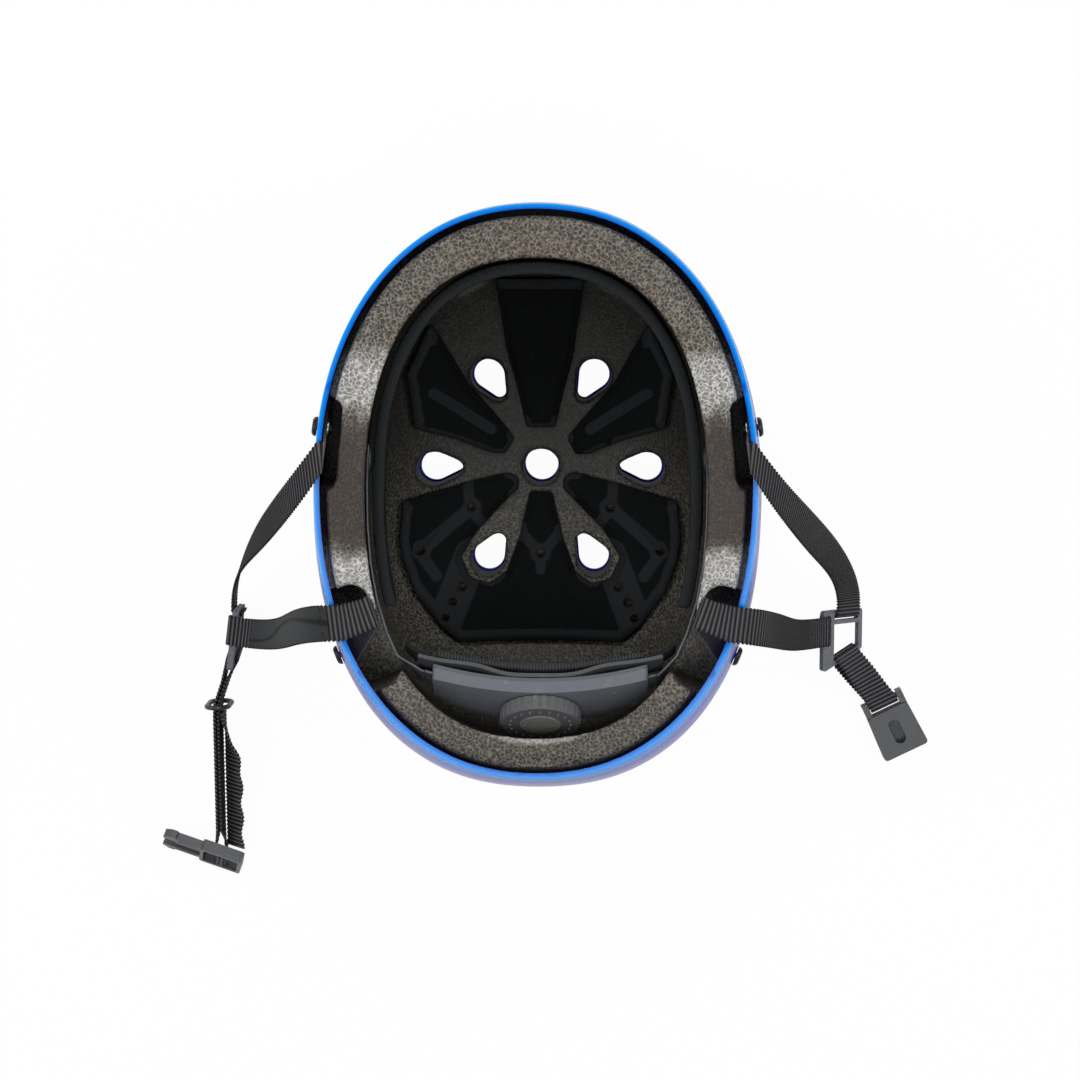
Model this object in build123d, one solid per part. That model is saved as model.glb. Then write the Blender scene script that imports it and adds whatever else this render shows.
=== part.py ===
from build123d import *
import math
import os

# Skateboard helmet, standing on its crown with the opening up.
# X points to the photograph's right, Y to the brow, Z up. The origin is the crown vent's centre
# on the floor. All lengths are in millimetres.

# Shared clearances
overrun = 4.0
seat_gap = 0.3
running_gap = 0.05

# Outer shell: a superellipse in plan, widest at the equator and tucked in at the rim
shell_half_width = 114.0
shell_half_length = 150.0
shell_thickness = 2.5
shell_back = 9.0
rim_forward = 7.2
rim_side_tuck = 5.0
rim_end_tuck = 9.0
equator_height = 95.0
rim_height = 155.0
rim_front_drop = 12.0
rim_rear_drop = 4.0
front_drop_start = 15.0
front_drop_run = 90.0
rear_drop_start = 40.0
rear_drop_run = 55.0
shell_plan_power = 2.18
shell_rear_power = 0.16
profile_power = 2.2
crown_flat_share = 0.12

# Foam liner: the hollow has its own sizes, so the wall may be set by itself
hollow_half_width = 88.0
hollow_half_length = 125.0
hollow_back = 8.0
hollow_side_tuck = 4.0
hollow_end_tuck = 8.5
hollow_forward = 1.8
hollow_floor = 28.0
hollow_plan_power = 2.38
hollow_rear_power = 0.0
liner_drop = 1.2
rebate_width = 3.5
rebate_depth = 12.0
rear_notch_width = 43.0
rear_notch_depth = 2.0
pocket_depth = 50.0
front_pocket_length = 44.0
front_pocket_inset = 8.5
rear_pocket_length = 55.0
rear_pocket_inset = 18.0

# Vents: one round one in the crown and six teardrops about it
crown_vent_radius = 9.0
vent_count = 6
vent_wide_radius = 8.2
vent_narrow_radius = 3.5
vent_wide_place = 57.5
vent_narrow_place = 46.5
vent_ledge = 1.0
brow_vent_width = 17.0
brow_vent_height = 9.0
brow_vent_side = 36.0
brow_vent_level = 62.0
rear_vent_side = 30.0
rear_vent_level = 70.0

# Padding on hook fasteners
pad_thickness = 6.0
pad_layers = 3
pad_edge_step = 1.1
pad_corner = 2.0
pad_top = 92.0
hook_thickness = 1.0
hook_radius = 6.0
pad_hole_radius = 2.2
pad_channel_width = 2.4
pad_channel_depth = 1.4
sweatband_thickness = 6.2
sweatband_inset = 3.9
sweatband_bottom = 102.0
sweatband_top = 129.0
sweatband_end = 62.0

# Harness
webbing_width = 16.0
webbing_thickness = 1.5
fold_lift = 2.6
fold_gap = 1.3
front_fold_place = 16.0
rear_fold_place = 66.0
front_rivet_place = 29.0
front_rivet_level = 125.0
rear_rivet_place = 88.0
rear_rivet_level = 118.0
root_tail = 9.0
rivet_head_radius = 5.0
rivet_head_height = 2.4
rivet_shank_radius = 1.6
rivet_tail_radius = 3.2
rivet_tail_height = 1.0
washer_radius = 5.5
washer_thickness = 0.8
sleeve_thickness = 5.0
sleeve_width = 15.5
divider_thickness = 3.0
divider_width = 28.0
divider_length = 34.0
divider_corner = 3.5
slot_width = 3.4
slot_length = 17.4
bar_width = 2.2

# Fit system: a ratchet dial that draws two toothed bands together at the nape
fit_tilt = 35.0
fit_x = 1.8
fit_y = -111.5
fit_z = 127.3
fit_arc = 190.0
fit_travel = 8.0
housing_half_span = 54.0
housing_top = 22.0
housing_middle_bottom = 12.0
housing_end_bottom = 2.0
housing_flat_half = 30.0
housing_thickness = 8.0
housing_wall = 1.8
dial_radius = 20.5
dial_thickness = 7.0
dial_knurls = 28
dial_bumps = 20
cap_radius = 10.5
cap_thickness = 1.4
pinion_pitch_radius = 5.0
pinion_teeth = 10
tooth_height = 0.7
rack_thickness = 1.2
rack_half_height = 9.0
rack_tail_low = 4.5
rack_tail_high = 17.5
band_thickness = 1.2
arm_thickness = 2.0
cradle_pad_thickness = 3.6


def unit(x, y, z):
    """A vector of length one along the given direction."""
    return Vector(x, y, z).normalized()


# Domes

def section(shape, inset, z):
    """Half width, half length, centre and rear power of a dome's cut at height z."""
    floor, half_width, half_length, back, side_tuck, end_tuck, forward, power, rear = shape
    if z < equator_height:
        drop = (equator_height - z) / (equator_height - floor - inset)
        share = max(0.0, 1 - drop ** profile_power) ** (1 / profile_power)
        rise = (z - floor - inset) / (equator_height - floor - inset)
        return (half_width - inset) * share, (half_length - inset) * share, -back * rise, power + rear
    rise = (z - equator_height) / (rim_height - equator_height)
    return (half_width - inset - side_tuck * rise ** 2, half_length - inset - end_tuck * rise ** 2,
            forward * rise ** 2 - back, power + rear * max(0.0, 1 - rise ** 2))


SHELL = (0, shell_half_width, shell_half_length, shell_back, rim_side_tuck, rim_end_tuck,
         rim_forward, shell_plan_power, shell_rear_power)
HOLLOW = (hollow_floor, hollow_half_width, hollow_half_length, hollow_back, hollow_side_tuck,
          hollow_end_tuck, hollow_forward, hollow_plan_power, hollow_rear_power)
low_shares = (crown_flat_share, 0.3, 0.5, 0.68, 0.82, 0.92, 0.98)
high_shares = (0.0, 0.35, 0.7, 1.0, 1.3)
plan_points = 20


def power_cos(angle, power):
    """The superellipse's cosine: the sign is kept and the size raised."""
    value = math.cos(angle)
    return math.copysign(abs(value) ** (2 / power), value)


def dome(shape, inset):
    """Solid under one dome, from its flat crown to past the rim."""
    floor, front_power = shape[0], shape[-2]
    levels = []
    for share in low_shares:
        drop = (1 - share ** profile_power) ** (1 / profile_power)
        levels.append(equator_height - drop * (equator_height - floor - inset))
    levels += [equator_height + share * (rim_height - equator_height) for share in high_shares]
    faces = []
    for z in levels:
        half_width, half_length, centre, rear_power = section(shape, inset, z)
        points = []
        for index in range(plan_points):
            angle = 2 * math.pi * index / plan_points
            power = front_power if index <= plan_points / 2 else rear_power
            points.append((half_width * power_cos(angle, power),
                           centre + half_length * power_cos(angle - math.pi / 2, power), z))
        faces.append(make_face(Spline(*points, periodic=True)))
    flat_drop = faces[0].center().Z - floor - inset
    return loft(faces).moved(Location((0, 0, -flat_drop)))


def wall_x(shape, inset, y, z):
    """How far out a dome's side wall stands at y and z."""
    half_width, half_length, centre, rear_power = section(shape, inset, z)
    power = shape[-2] if y >= centre else rear_power
    share = min(1.0, abs(y - centre) / half_length)
    return half_width * (1 - share ** power) ** (1 / power)


def wall_normal(shape, inset, y, z):
    """Level direction square to the right side wall at y and z."""
    step = shell_thickness
    back_x = wall_x(shape, inset, y - step, z)
    front_x = wall_x(shape, inset, y + step, z)
    return unit(2 * step, back_x - front_x, 0)


def face_normal(shape, y, z):
    """Direction square to the right side of a dome's outer face at y and z."""
    step = shell_thickness
    level = wall_normal(shape, 0, y, z)
    slope = (wall_x(shape, 0, y, z - step) - wall_x(shape, 0, y, z + step)) / (2 * step)
    return unit(level.X, level.Y, slope * level.X)


def smooth_step(value):
    """Rises from 0 to 1 with level ends."""
    share = min(1.0, max(0.0, value))
    return share * share * (3 - 2 * share)


def rim_level(y):
    """Height of the cut rim: lower at the brow and at the nape."""
    front = rim_front_drop * smooth_step((y - front_drop_start) / front_drop_run)
    rear = rim_rear_drop * smooth_step((-y - rear_drop_start) / rear_drop_run)
    return rim_height - front - rear


rim_steps = 16


def above_rim(drop):
    """Everything higher than the rim line, lowered by drop."""
    reach = shell_half_length + shell_back + overrun
    points = [(0, reach - 2 * reach * index / rim_steps, 0) for index in range(rim_steps + 1)]
    line = Spline(*[(0, point[1], rim_level(point[1]) - drop) for point in points])
    top = 2 * rim_height
    frame = Polyline(line @ 0, (0, reach, top), (0, -reach, top), line @ 1)
    face = make_face([line, frame])
    return extrude(face, shell_half_width + overrun, dir=(1, 0, 0), both=True)


def teardrop(angle, grow):
    """Vent outline: two circles and their common tangents, round end outwards."""
    wide, narrow = vent_wide_radius + grow, vent_narrow_radius + grow
    lean = math.asin((wide - narrow) / (vent_wide_place - vent_narrow_place))
    corners = []
    for place, radius, side in ((vent_wide_place, wide, 1), (vent_narrow_place, narrow, 1),
                                (vent_narrow_place, narrow, -1), (vent_wide_place, wide, -1)):
        corners.append((place - radius * math.sin(lean), side * radius * math.cos(lean)))
    shape = make_face(Polyline(*corners, close=True))
    shape += Pos(vent_wide_place, 0, 0) * Circle(wide)
    shape += Pos(vent_narrow_place, 0, 0) * Circle(narrow)
    return Rot(0, 0, angle) * shape


def vent_cutters(grow):
    """Upright prisms for the crown vent and the teardrops about it."""
    tall = hollow_floor + equator_height
    cutters = Pos(0, 0, -overrun) * extrude(Circle(crown_vent_radius + grow), tall)
    for index in range(vent_count):
        angle = 360 * index / vent_count
        cutters += Pos(0, 0, -overrun) * extrude(teardrop(angle, grow), tall)
    return cutters


def end_vents(grow):
    """Oval holes through the brow and the nape, level along Y."""
    cutters = Part()
    for side in (-1, 1):
        for place, level, turn in ((brow_vent_side, brow_vent_level, 1), (rear_vent_side, rear_vent_level, -1)):
            oval = SlotOverall(brow_vent_width + 2 * grow, brow_vent_height + 2 * grow)
            hole = extrude(oval, shell_half_length + shell_back + overrun)
            cutters += Pos(side * place, 0, level) * Rot(-90 * turn, 0, 0) * hole
    return cutters


def sides():
    """Names and signs of the two sides."""
    return (("left", -1), ("right", 1))


def rivet_place(kind, side):
    """Point on the shell's outer face and the rivet's axis there."""
    place, level = {"front": (front_rivet_place, front_rivet_level),
                    "rear": (-rear_rivet_place, rear_rivet_level)}[kind]
    normal = face_normal(SHELL, place, level)
    x = wall_x(SHELL, 0, place, level)
    return Vector(side * x, place, level), Vector(side * normal.X, normal.Y, normal.Z)


def facing(point, normal):
    """Placement with its Z along normal at point."""
    return Plane(origin=point, x_dir=(-normal.Y, normal.X, 0), z_dir=normal).location


# Outer shell

outer = dome(SHELL, 0)
shell_inside = dome(SHELL, shell_thickness)
rim_cut = above_rim(0)
shell_holes = vent_cutters(0) + end_vents(0)
for kind in ("front", "rear"):
    for _, side in sides():
        point, normal = rivet_place(kind, side)
        hole = Pos(0, 0, -shell_thickness - overrun) * extrude(
            Circle(rivet_shank_radius + running_gap), shell_thickness + 2 * overrun)
        shell_holes += facing(point, normal) * hole
outer_shell = outer - shell_inside - rim_cut - shell_holes

# Foam liner

hollow = dome(HOLLOW, 0)
liner_skin = dome(SHELL, shell_thickness + seat_gap)
liner_upper = dome(SHELL, shell_thickness + rebate_width)
liner = liner_skin - above_rim(liner_drop + rebate_depth)
liner += liner_upper - above_rim(liner_drop)


def pocket(centre_y, length, inset, side):
    """Strap pocket in the liner's outer edge, open at the rim."""
    edge_x = wall_x(SHELL, shell_thickness, centre_y, rim_height)
    normal = wall_normal(SHELL, shell_thickness, centre_y, rim_height)
    box = Box(2 * inset, length, 2 * pocket_depth)
    box = fillet(box.edges().filter_by(Axis.Z), inset / 2)
    turn = math.degrees(math.atan2(normal.Y, side * normal.X))
    return Pos(side * edge_x, centre_y, rim_height) * Rot(0, 0, turn) * box


def frame_at(place, x_axis, z_axis):
    """Placement with the given place and axes."""
    return Plane(origin=place, x_dir=x_axis, z_dir=z_axis).location


# The fit unit's own frame: X level, Y towards the head, Z up the tilted plate
tilt = math.radians(fit_tilt)
fit_up = Vector(0, math.sin(tilt), math.cos(tilt))
fit_frame = frame_at((fit_x, fit_y, fit_z), (1, 0, 0), fit_up)
half_housing = housing_thickness / 2
dial_back = half_housing + seat_gap * 2


def fit_ring(inner, outer_radius, low, high):
    """Part of an upright ring about the housing's bend, between two levels."""
    ring = extrude(Circle(fit_arc + outer_radius) - Circle(fit_arc + inner), high - low)
    return Pos(0, fit_arc, low) * ring


def fit_outline(inset):
    """Block whose front view is the housing's outline: deep in the middle, shallow at the ends."""
    span, top = housing_half_span - inset, housing_top - inset
    points = [(-span, top), (span, top), (span, housing_end_bottom + inset),
              (housing_flat_half, inset - housing_middle_bottom),
              (-housing_flat_half, inset - housing_middle_bottom), (-span, housing_end_bottom + inset)]
    face = make_face(Polyline(*points, close=True))
    face = fillet(face.vertices(), housing_wall)
    return Rot(90, 0, 0) * extrude(face, 2 * housing_half_span, both=True)


# Band anchors: snap plugs in the liner's side walls
anchor_place = 12.0
anchor_level = 120.0
anchor_radius = 4.0
anchor_depth = 9.0
anchor_head_radius = 6.5
anchor_head_height = 1.2


def anchor_frame(side):
    """Placement on the hollow's wall with Z into the foam."""
    x = wall_x(HOLLOW, 0, anchor_place, anchor_level)
    normal = face_normal(HOLLOW, anchor_place, anchor_level)
    return facing(Vector(side * x, anchor_place, anchor_level), Vector(side * normal.X, normal.Y, normal.Z))


eps_liner = liner - hollow - vent_cutters(vent_ledge) - end_vents(vent_ledge)
for _, side in sides():
    eps_liner -= pocket((front_fold_place + front_rivet_place) / 2, front_pocket_length, front_pocket_inset, side)
    eps_liner -= pocket(-(rear_fold_place + rear_rivet_place) / 2, rear_pocket_length, rear_pocket_inset, side)
    hole = Pos(0, 0, -overrun) * extrude(Circle(anchor_radius + seat_gap), anchor_depth + overrun + seat_gap)
    eps_liner -= anchor_frame(side) * hole
notch = Box(rear_notch_width, 2 * rear_notch_depth, rim_height)
notch_y = section(SHELL, shell_thickness + rebate_width, rim_height)
eps_liner -= Pos(fit_x, notch_y[2] - notch_y[1], rim_height) * notch
dial_relief = Pos(0, -half_housing, 0) * Rot(90, 0, 0) * extrude(
    Circle(dial_radius + dial_back), dial_thickness + cap_thickness + dial_back)
eps_liner -= fit_frame * dial_relief

# Rivets and their washers, in line through shell and webbing
webbing_inset = shell_thickness + 2 * seat_gap + webbing_thickness / 2
washer_level = webbing_inset + webbing_thickness / 2 + seat_gap
strap_rivets = Part()
strap_washers = Part()
for kind in ("front", "rear"):
    for _, side in sides():
        point, normal = rivet_place(kind, side)
        head = Pos(0, 0, seat_gap) * extrude(Circle(rivet_head_radius), rivet_head_height)
        head = fillet(head.edges().sort_by(Axis.Z)[-1:], rivet_head_height * 0.9)
        tail_level = washer_level + washer_thickness + seat_gap + rivet_tail_height
        shank = Pos(0, 0, -tail_level) * extrude(Circle(rivet_shank_radius), tail_level + rivet_head_height / 2)
        tail = Pos(0, 0, -tail_level) * extrude(Circle(rivet_tail_radius), rivet_tail_height)
        strap_rivets += facing(point, normal) * (head + shank + tail)
        washer = extrude(Circle(washer_radius) - Circle(rivet_shank_radius + running_gap), washer_thickness)
        strap_washers += facing(point, normal) * Pos(0, 0, -washer_level - washer_thickness) * washer


# Webbing

def strip(stations, profile):
    """Strip through stations of centre and half-width vector; its profile has shares of that and heights."""
    faces = []
    for index, (centre, half) in enumerate(stations):
        before = stations[max(0, index - 1)][0]
        after = stations[min(len(stations) - 1, index + 1)][0]
        lift = half.cross(after - before).normalized()
        corners = [centre + half * share + lift * height for share, height in profile]
        faces.append(make_face(Polyline(*corners, close=True)))
    return loft(faces, ruled=True)


def webbing(stations, thickness):
    """Flat strip of even thickness."""
    return strip(stations, [(1, thickness / 2), (-1, thickness / 2), (-1, -thickness / 2), (1, -thickness / 2)])


def curve(start, start_pull, end, end_pull, share):
    """Point at a share of the way along a Bezier curve with the given end pulls."""
    rest = 1 - share
    return (start * rest ** 3 + (start + start_pull) * (3 * rest ** 2 * share)
            + (end + end_pull) * (3 * rest * share ** 2) + end * share ** 3)


half_web = webbing_width / 2
hinge_inset = webbing_inset - webbing_thickness - seat_gap
rear_hinge_inset = shell_thickness


def hinge_points(side):
    """Where a side's front and rear straps fold over the rim."""
    front_y, rear_y = front_fold_place, -rear_fold_place
    front_x = wall_x(SHELL, hinge_inset, front_y, rim_height)
    rear_x = wall_x(SHELL, rear_hinge_inset, rear_y, rim_height)
    level = rim_height + fold_lift
    return Vector(side * front_x, front_y, level), Vector(side * rear_x, rear_y, level)


rear_skew = 1.13
root_steps = 4


def hinge_half(side, size):
    """Half-width vector along the line through a side's two fold points."""
    front, rear = hinge_points(side)
    return (front - rear).normalized() * size


def front_root(side):
    """Webbing from its rivet up the gap beside the liner to the rim."""
    hinge = hinge_points(side)[0]
    low_y = front_rivet_place + root_tail / 2
    stations = []
    for index in range(root_steps + 1):
        share = index / root_steps
        z = front_rivet_level - root_tail + share * (hinge.Z - fold_gap - front_rivet_level + root_tail)
        y = low_y + share * (front_fold_place - low_y)
        x = wall_x(SHELL, webbing_inset, y, min(z, rim_height))
        normal = wall_normal(SHELL, webbing_inset, y, min(z, rim_height))
        half = Vector(-side * normal.Y, normal.X, 0) * (webbing_width / 2)
        stations.append((Vector(side * x, y, z), half))
    return webbing(stations, webbing_thickness)


crease_inset = 14.0
crease_radius = 3.0
crease_steps = 4


def rear_root(side):
    """Webbing from its rivet up through the pocket, creased outwards over the liner."""
    hinge = hinge_points(side)[1]
    normal = wall_normal(SHELL, webbing_inset, -rear_fold_place, rim_height)
    out = Vector(side * normal.X, normal.Y, 0)
    half = Vector(-side * normal.Y, normal.X, 0) * (webbing_width / 2)
    inner = hinge - out * crease_inset
    centre = inner + Vector(0, 0, -crease_radius)
    point, axis = rivet_place("rear", side)
    seat = point - axis * webbing_inset
    rivet_half = Vector(-side * axis.Y, side * axis.X, 0).normalized() * (webbing_width / 2)
    up = (axis.cross(rivet_half)).normalized() * side
    if up.Z < 0:
        up = -up
    stations = [(seat - up * root_tail, rivet_half), (seat, rivet_half), (seat + up * washer_radius, rivet_half)]
    for index in range(crease_steps + 1):
        angle = math.pi / 2 * index / crease_steps
        stations.append((centre - out * (crease_radius * math.cos(angle))
                         + Vector(0, 0, crease_radius * math.sin(angle)), half))
    stations.append((hinge - out * fold_gap, hinge_half(side, half_web * rear_skew)))
    return webbing(stations, webbing_thickness)


roots = {}
for name, side in sides():
    for kind, make in (("front", front_root), ("rear", rear_root)):
        point, normal = rivet_place(kind, side)
        hole = facing(point, normal) * Pos(0, 0, -2 * webbing_inset) * extrude(
            Circle(rivet_shank_radius + running_gap), 2 * webbing_inset)
        roots[f"{name}_{kind}_strap_root"] = make(side) - hole


# Padding

def mirrored(half_points):
    """Closed outline from the points of its right half, listed from front to rear."""
    return half_points + [(-x, y) for x, y in reversed(half_points) if abs(x) > 0]


def outline(shares, grow):
    """Rounded flat outline from shares of the hollow's half width and half length."""
    points = [(x * hollow_half_width, y * hollow_half_length) for x, y in shares]
    face = make_face(Polyline(*points, close=True))
    face = fillet(face.vertices(), pad_corner)
    if grow:
        face = offset(face, grow, kind=Kind.INTERSECTION)
    return face


front_centre_shares = mirrored([(0.270, 0.820), (0.205, 0.500), (0.137, 0.320), (0.090, 0.172)])
side_pad_shares = [(0.650, 0.640), (0.540, 0.500), (0.443, 0.372), (0.279, 0.235), (0.155, 0.130),
                   (0.215, 0.058), (0.300, 0.062), (0.495, 0.122), (0.760, 0.182), (0.800, 0.420)]
rear_pad_shares = mirrored([(0.070, -0.100), (0.140, -0.305), (0.216, -0.444), (0.313, -0.492),
                            (0.426, -0.468), (0.483, -0.380), (0.390, -0.272), (0.250, -0.170),
                            (0.136, -0.092), (0.136, -0.042), (0.193, -0.016), (0.403, -0.048),
                            (0.830, -0.124), (0.850, -0.280), (0.830, -0.376), (0.762, -0.508),
                            (0.600, -0.668), (0.490, -0.735)])
hole_shares = [(0.728, -0.340), (0.426, -0.168), (0.477, -0.504), (0.534, -0.564), (0.574, -0.628)]
pad_layers_share = [index / pad_layers for index in range(pad_layers + 1)]
tall = pad_top - hollow_floor


def tall_prism(face):
    """Upright block on an outline, from under the hollow's floor to the pads' top."""
    return Pos(0, 0, hollow_floor - overrun) * extrude(face, tall + overrun)


pad_domes = [dome(HOLLOW, hook_thickness + seat_gap + pad_thickness * share) for share in pad_layers_share]
pad_skins = [low - high for low, high in zip(pad_domes, pad_domes[1:])]
hook_skin = dome(HOLLOW, seat_gap / 2) - dome(HOLLOW, hook_thickness + seat_gap / 2)


def pad(shares, holes, channels):
    """Foam pad that follows the hollow: each layer towards the head is drawn in at its edge."""
    shape = Part()
    for index, skin in enumerate(pad_skins):
        face = outline(shares, -pad_edge_step * index * (index + 1) / 2)
        shape += skin & tall_prism(face)
    for x, y in holes:
        hole = Pos(x * hollow_half_width, y * hollow_half_length) * Circle(pad_hole_radius)
        shape -= tall_prism(hole)
    for (x0, y0), (x1, y1) in channels:
        start = Vector(x0 * hollow_half_width, y0 * hollow_half_length)
        end = Vector(x1 * hollow_half_width, y1 * hollow_half_length)
        run = end - start
        slot = Pos(*((start + end) / 2)) * Rot(0, 0, math.degrees(math.atan2(run.Y, run.X)))
        shape -= channel_skin & tall_prism(slot * SlotOverall(run.length + pad_channel_width, pad_channel_width))
    return shape


channel_skin = dome(HOLLOW, hook_thickness + seat_gap + pad_thickness - pad_channel_depth) - dome(
    HOLLOW, hook_thickness + seat_gap + pad_thickness + pad_channel_depth)
side_channel = [((0.300, 0.170), (0.640, 0.330))]
rear_channels = [((0.0, -0.160), (0.0, -0.300)), ((0.0, -0.400), (-0.330, -0.660)), ((0.0, -0.400), (0.330, -0.660)),
                 ((0.470, -0.150), (0.690, -0.330)), ((-0.470, -0.150), (-0.690, -0.330))]
pad_front_right = pad(side_pad_shares, [], side_channel)
pads = {"pad_front_centre": pad(front_centre_shares, [], []),
        "pad_front_right": pad_front_right,
        "pad_front_left": mirror(pad_front_right, Plane.YZ),
        "pad_rear": pad(rear_pad_shares, [(0, -0.368)] + hole_shares + [(-x, y) for x, y in hole_shares],
                        rear_channels)}

hook_shares = [(0, 0.30), (0, 0.52), (0.30, 0.15), (-0.30, 0.15), (0.62, 0.34), (-0.62, 0.34),
               (0.60, -0.14), (-0.60, -0.14), (0.66, -0.42), (-0.66, -0.42), (0, -0.24), (0, -0.56),
               (0.30, -0.60), (-0.30, -0.60)]
discs = Sketch()
for x, y in hook_shares:
    discs += Pos(x * hollow_half_width, y * hollow_half_length) * Circle(hook_radius)
hook_fasteners = hook_skin & tall_prism(discs)

# Sweatband round the brow and sides, with a rolled flat top
band_inner = sweatband_inset + sweatband_thickness
sweatband = dome(HOLLOW, sweatband_inset) - dome(HOLLOW, band_inner)
block = Box(2 * hollow_half_width, hollow_half_length + sweatband_end, sweatband_top - sweatband_bottom)
sweatband &= Pos(0, (hollow_half_length - sweatband_end) / 2, (sweatband_top + sweatband_bottom) / 2) * block
roll = dome(HOLLOW, sweatband_inset + sweatband_thickness / 3) - dome(HOLLOW, band_inner - pad_edge_step)
roll &= Pos(0, (hollow_half_length - sweatband_end) / 2, sweatband_top) * Box(
    2 * hollow_half_width, hollow_half_length + sweatband_end - 2 * pad_edge_step, 2 * pad_edge_step)
sweatband += roll


# Fit unit: housing, racks, pinion and dial, built in its own frame

boss_radius = 16.0
boss_rise = 0.2
screw_place = 26.0
screw_radius = 1.1
screw_head_radius = 2.2
screw_head_height = 0.9
screw_boss_radius = 2.6
window_place = 40.0
window_level = 15.0
window_length = 8.0
window_height = 2.4
shaft_radius = 3.8
pin_radius = 1.8
pinion_tip = pinion_pitch_radius + tooth_height
root_drop = tooth_height + 0.2
tooth_tip_width = 0.7
tooth_base_width = 1.5
tooth_pitch = 2 * math.pi * pinion_pitch_radius / pinion_teeth
seam = running_gap


def along_dial(radius, front, rear, hollow_radius=0):
    """Round piece on the dial's axis between two distances behind the plate's middle."""
    shape = extrude(Circle(radius) - Circle(hollow_radius) if hollow_radius else Circle(radius), rear - front)
    return Rot(90, 0, 0) * Pos(0, 0, front) * shape


def across_housing(x, z, shape):
    """Puts an upright round shape level across the housing at x and z, its Z to the rear."""
    return Pos(x, 0, z) * Rot(90, 0, 0) * shape


wall_front = housing_wall - half_housing
wall_rear = half_housing - housing_wall
low_edge, high_edge = -housing_middle_bottom - overrun, housing_top + overrun
cavity = fit_ring(wall_front, wall_rear, low_edge, high_edge) & fit_outline(housing_wall)
for _, side in sides():
    opening = Box(6 * housing_wall, 2 * housing_half_span, rack_tail_high - rack_tail_low + 4 * seat_gap)
    opening = Pos(side * housing_half_span, 0, (rack_tail_high + rack_tail_low) / 2) * opening
    cavity += opening & fit_ring(wall_front, wall_rear, low_edge, high_edge)
housing_cover = fit_ring(wall_front + seam, half_housing, low_edge, high_edge) & fit_outline(0)
housing_cover -= cavity
housing_cover += along_dial(boss_radius, wall_rear + housing_wall / 2, half_housing + boss_rise) & (
    Box(2 * boss_radius, 2 * half_housing + 2 * boss_rise, 2 * (housing_middle_bottom)))
housing_cover -= along_dial(shaft_radius + running_gap, wall_front, dial_back)
housing_base = fit_ring(-half_housing, wall_front, low_edge, high_edge) & fit_outline(0)
housing_base -= along_dial(pin_radius + running_gap, -2 * half_housing, half_housing)
housing_screws = Part()
screw_level = housing_top - housing_wall - screw_boss_radius - screw_head_radius / 2
for _, side in sides():
    x = side * screw_place
    sag = fit_arc - math.sqrt((fit_arc - half_housing) ** 2 - (screw_place + screw_head_radius) ** 2)
    boss = Pos(0, 0, wall_front) * extrude(Circle(screw_boss_radius), 2 * wall_rear)
    boss = across_housing(x, screw_level, boss) & fit_ring(wall_front + seam, wall_rear, low_edge, high_edge)
    housing_cover += boss
    shank = Pos(0, 0, -sag) * extrude(Circle(screw_radius), sag + wall_rear / 2)
    head = Pos(0, 0, -sag - screw_head_height) * extrude(Circle(screw_head_radius), screw_head_height)
    head = fillet(head.edges().sort_by(Axis.Z)[:1], screw_head_height / 2)
    hole = Pos(0, 0, -sag - overrun) * extrude(Circle(screw_radius + running_gap), sag + overrun + wall_rear / 2 + seam)
    housing_cover -= across_housing(x, screw_level, hole)
    housing_base -= across_housing(x, screw_level, hole)
    housing_screws += across_housing(x, screw_level, shank + head)
    window = Box(window_length, 2 * half_housing, window_height)
    housing_cover -= Pos(side * window_place, -half_housing, window_level) * window

toothed_half = pinion_tip + 2 * seat_gap
slot_far = toothed_half + fit_travel
rack_bend_start = 25.0
rack_bend_end = 48.0
rack_reach = housing_half_span + housing_thickness / 2


def rack(side, front, rear):
    """Toothed end of one band: a slot with teeth on one edge and a tail that rises to the housing's end."""
    half = rack_half_height
    points = [(-toothed_half - half / 2, half), (rack_bend_start, half), (rack_bend_end, rack_tail_high),
              (rack_reach, rack_tail_high), (rack_reach, rack_tail_low), (rack_bend_end + half / 2, rack_tail_low),
              (rack_bend_start, -half), (-toothed_half - half / 2, -half)]
    face = make_face(Polyline(*[(side * x, z) for x, z in points], close=True))
    root = pinion_pitch_radius + root_drop
    clear = pinion_tip + seat_gap
    middle = side * (slot_far - toothed_half) / 2
    face -= Pos(middle, -side * (root - clear) / 2) * Rectangle(slot_far + toothed_half, root + clear)
    count = int(slot_far / tooth_pitch) + 1
    for index in range(-1, count):
        x = side * (index + 0.5) * tooth_pitch
        low, tip = -side * (root + seat_gap), -side * (pinion_pitch_radius - tooth_height)
        tooth = [(x - tooth_base_width / 2, low), (x + tooth_base_width / 2, low),
                 (x + tooth_tip_width / 2, tip), (x - tooth_tip_width / 2, tip)]
        face += make_face(Polyline(*tooth, close=True))
    block = Rot(90, 0, 0) * extrude(face, 2 * housing_half_span, both=True)
    return block & fit_ring(front, rear, low_edge, high_edge)


layer_gap = seat_gap
left_rack = rack(-1, -layer_gap - rack_thickness, -layer_gap)
right_rack = rack(1, layer_gap, layer_gap + rack_thickness)

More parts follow.
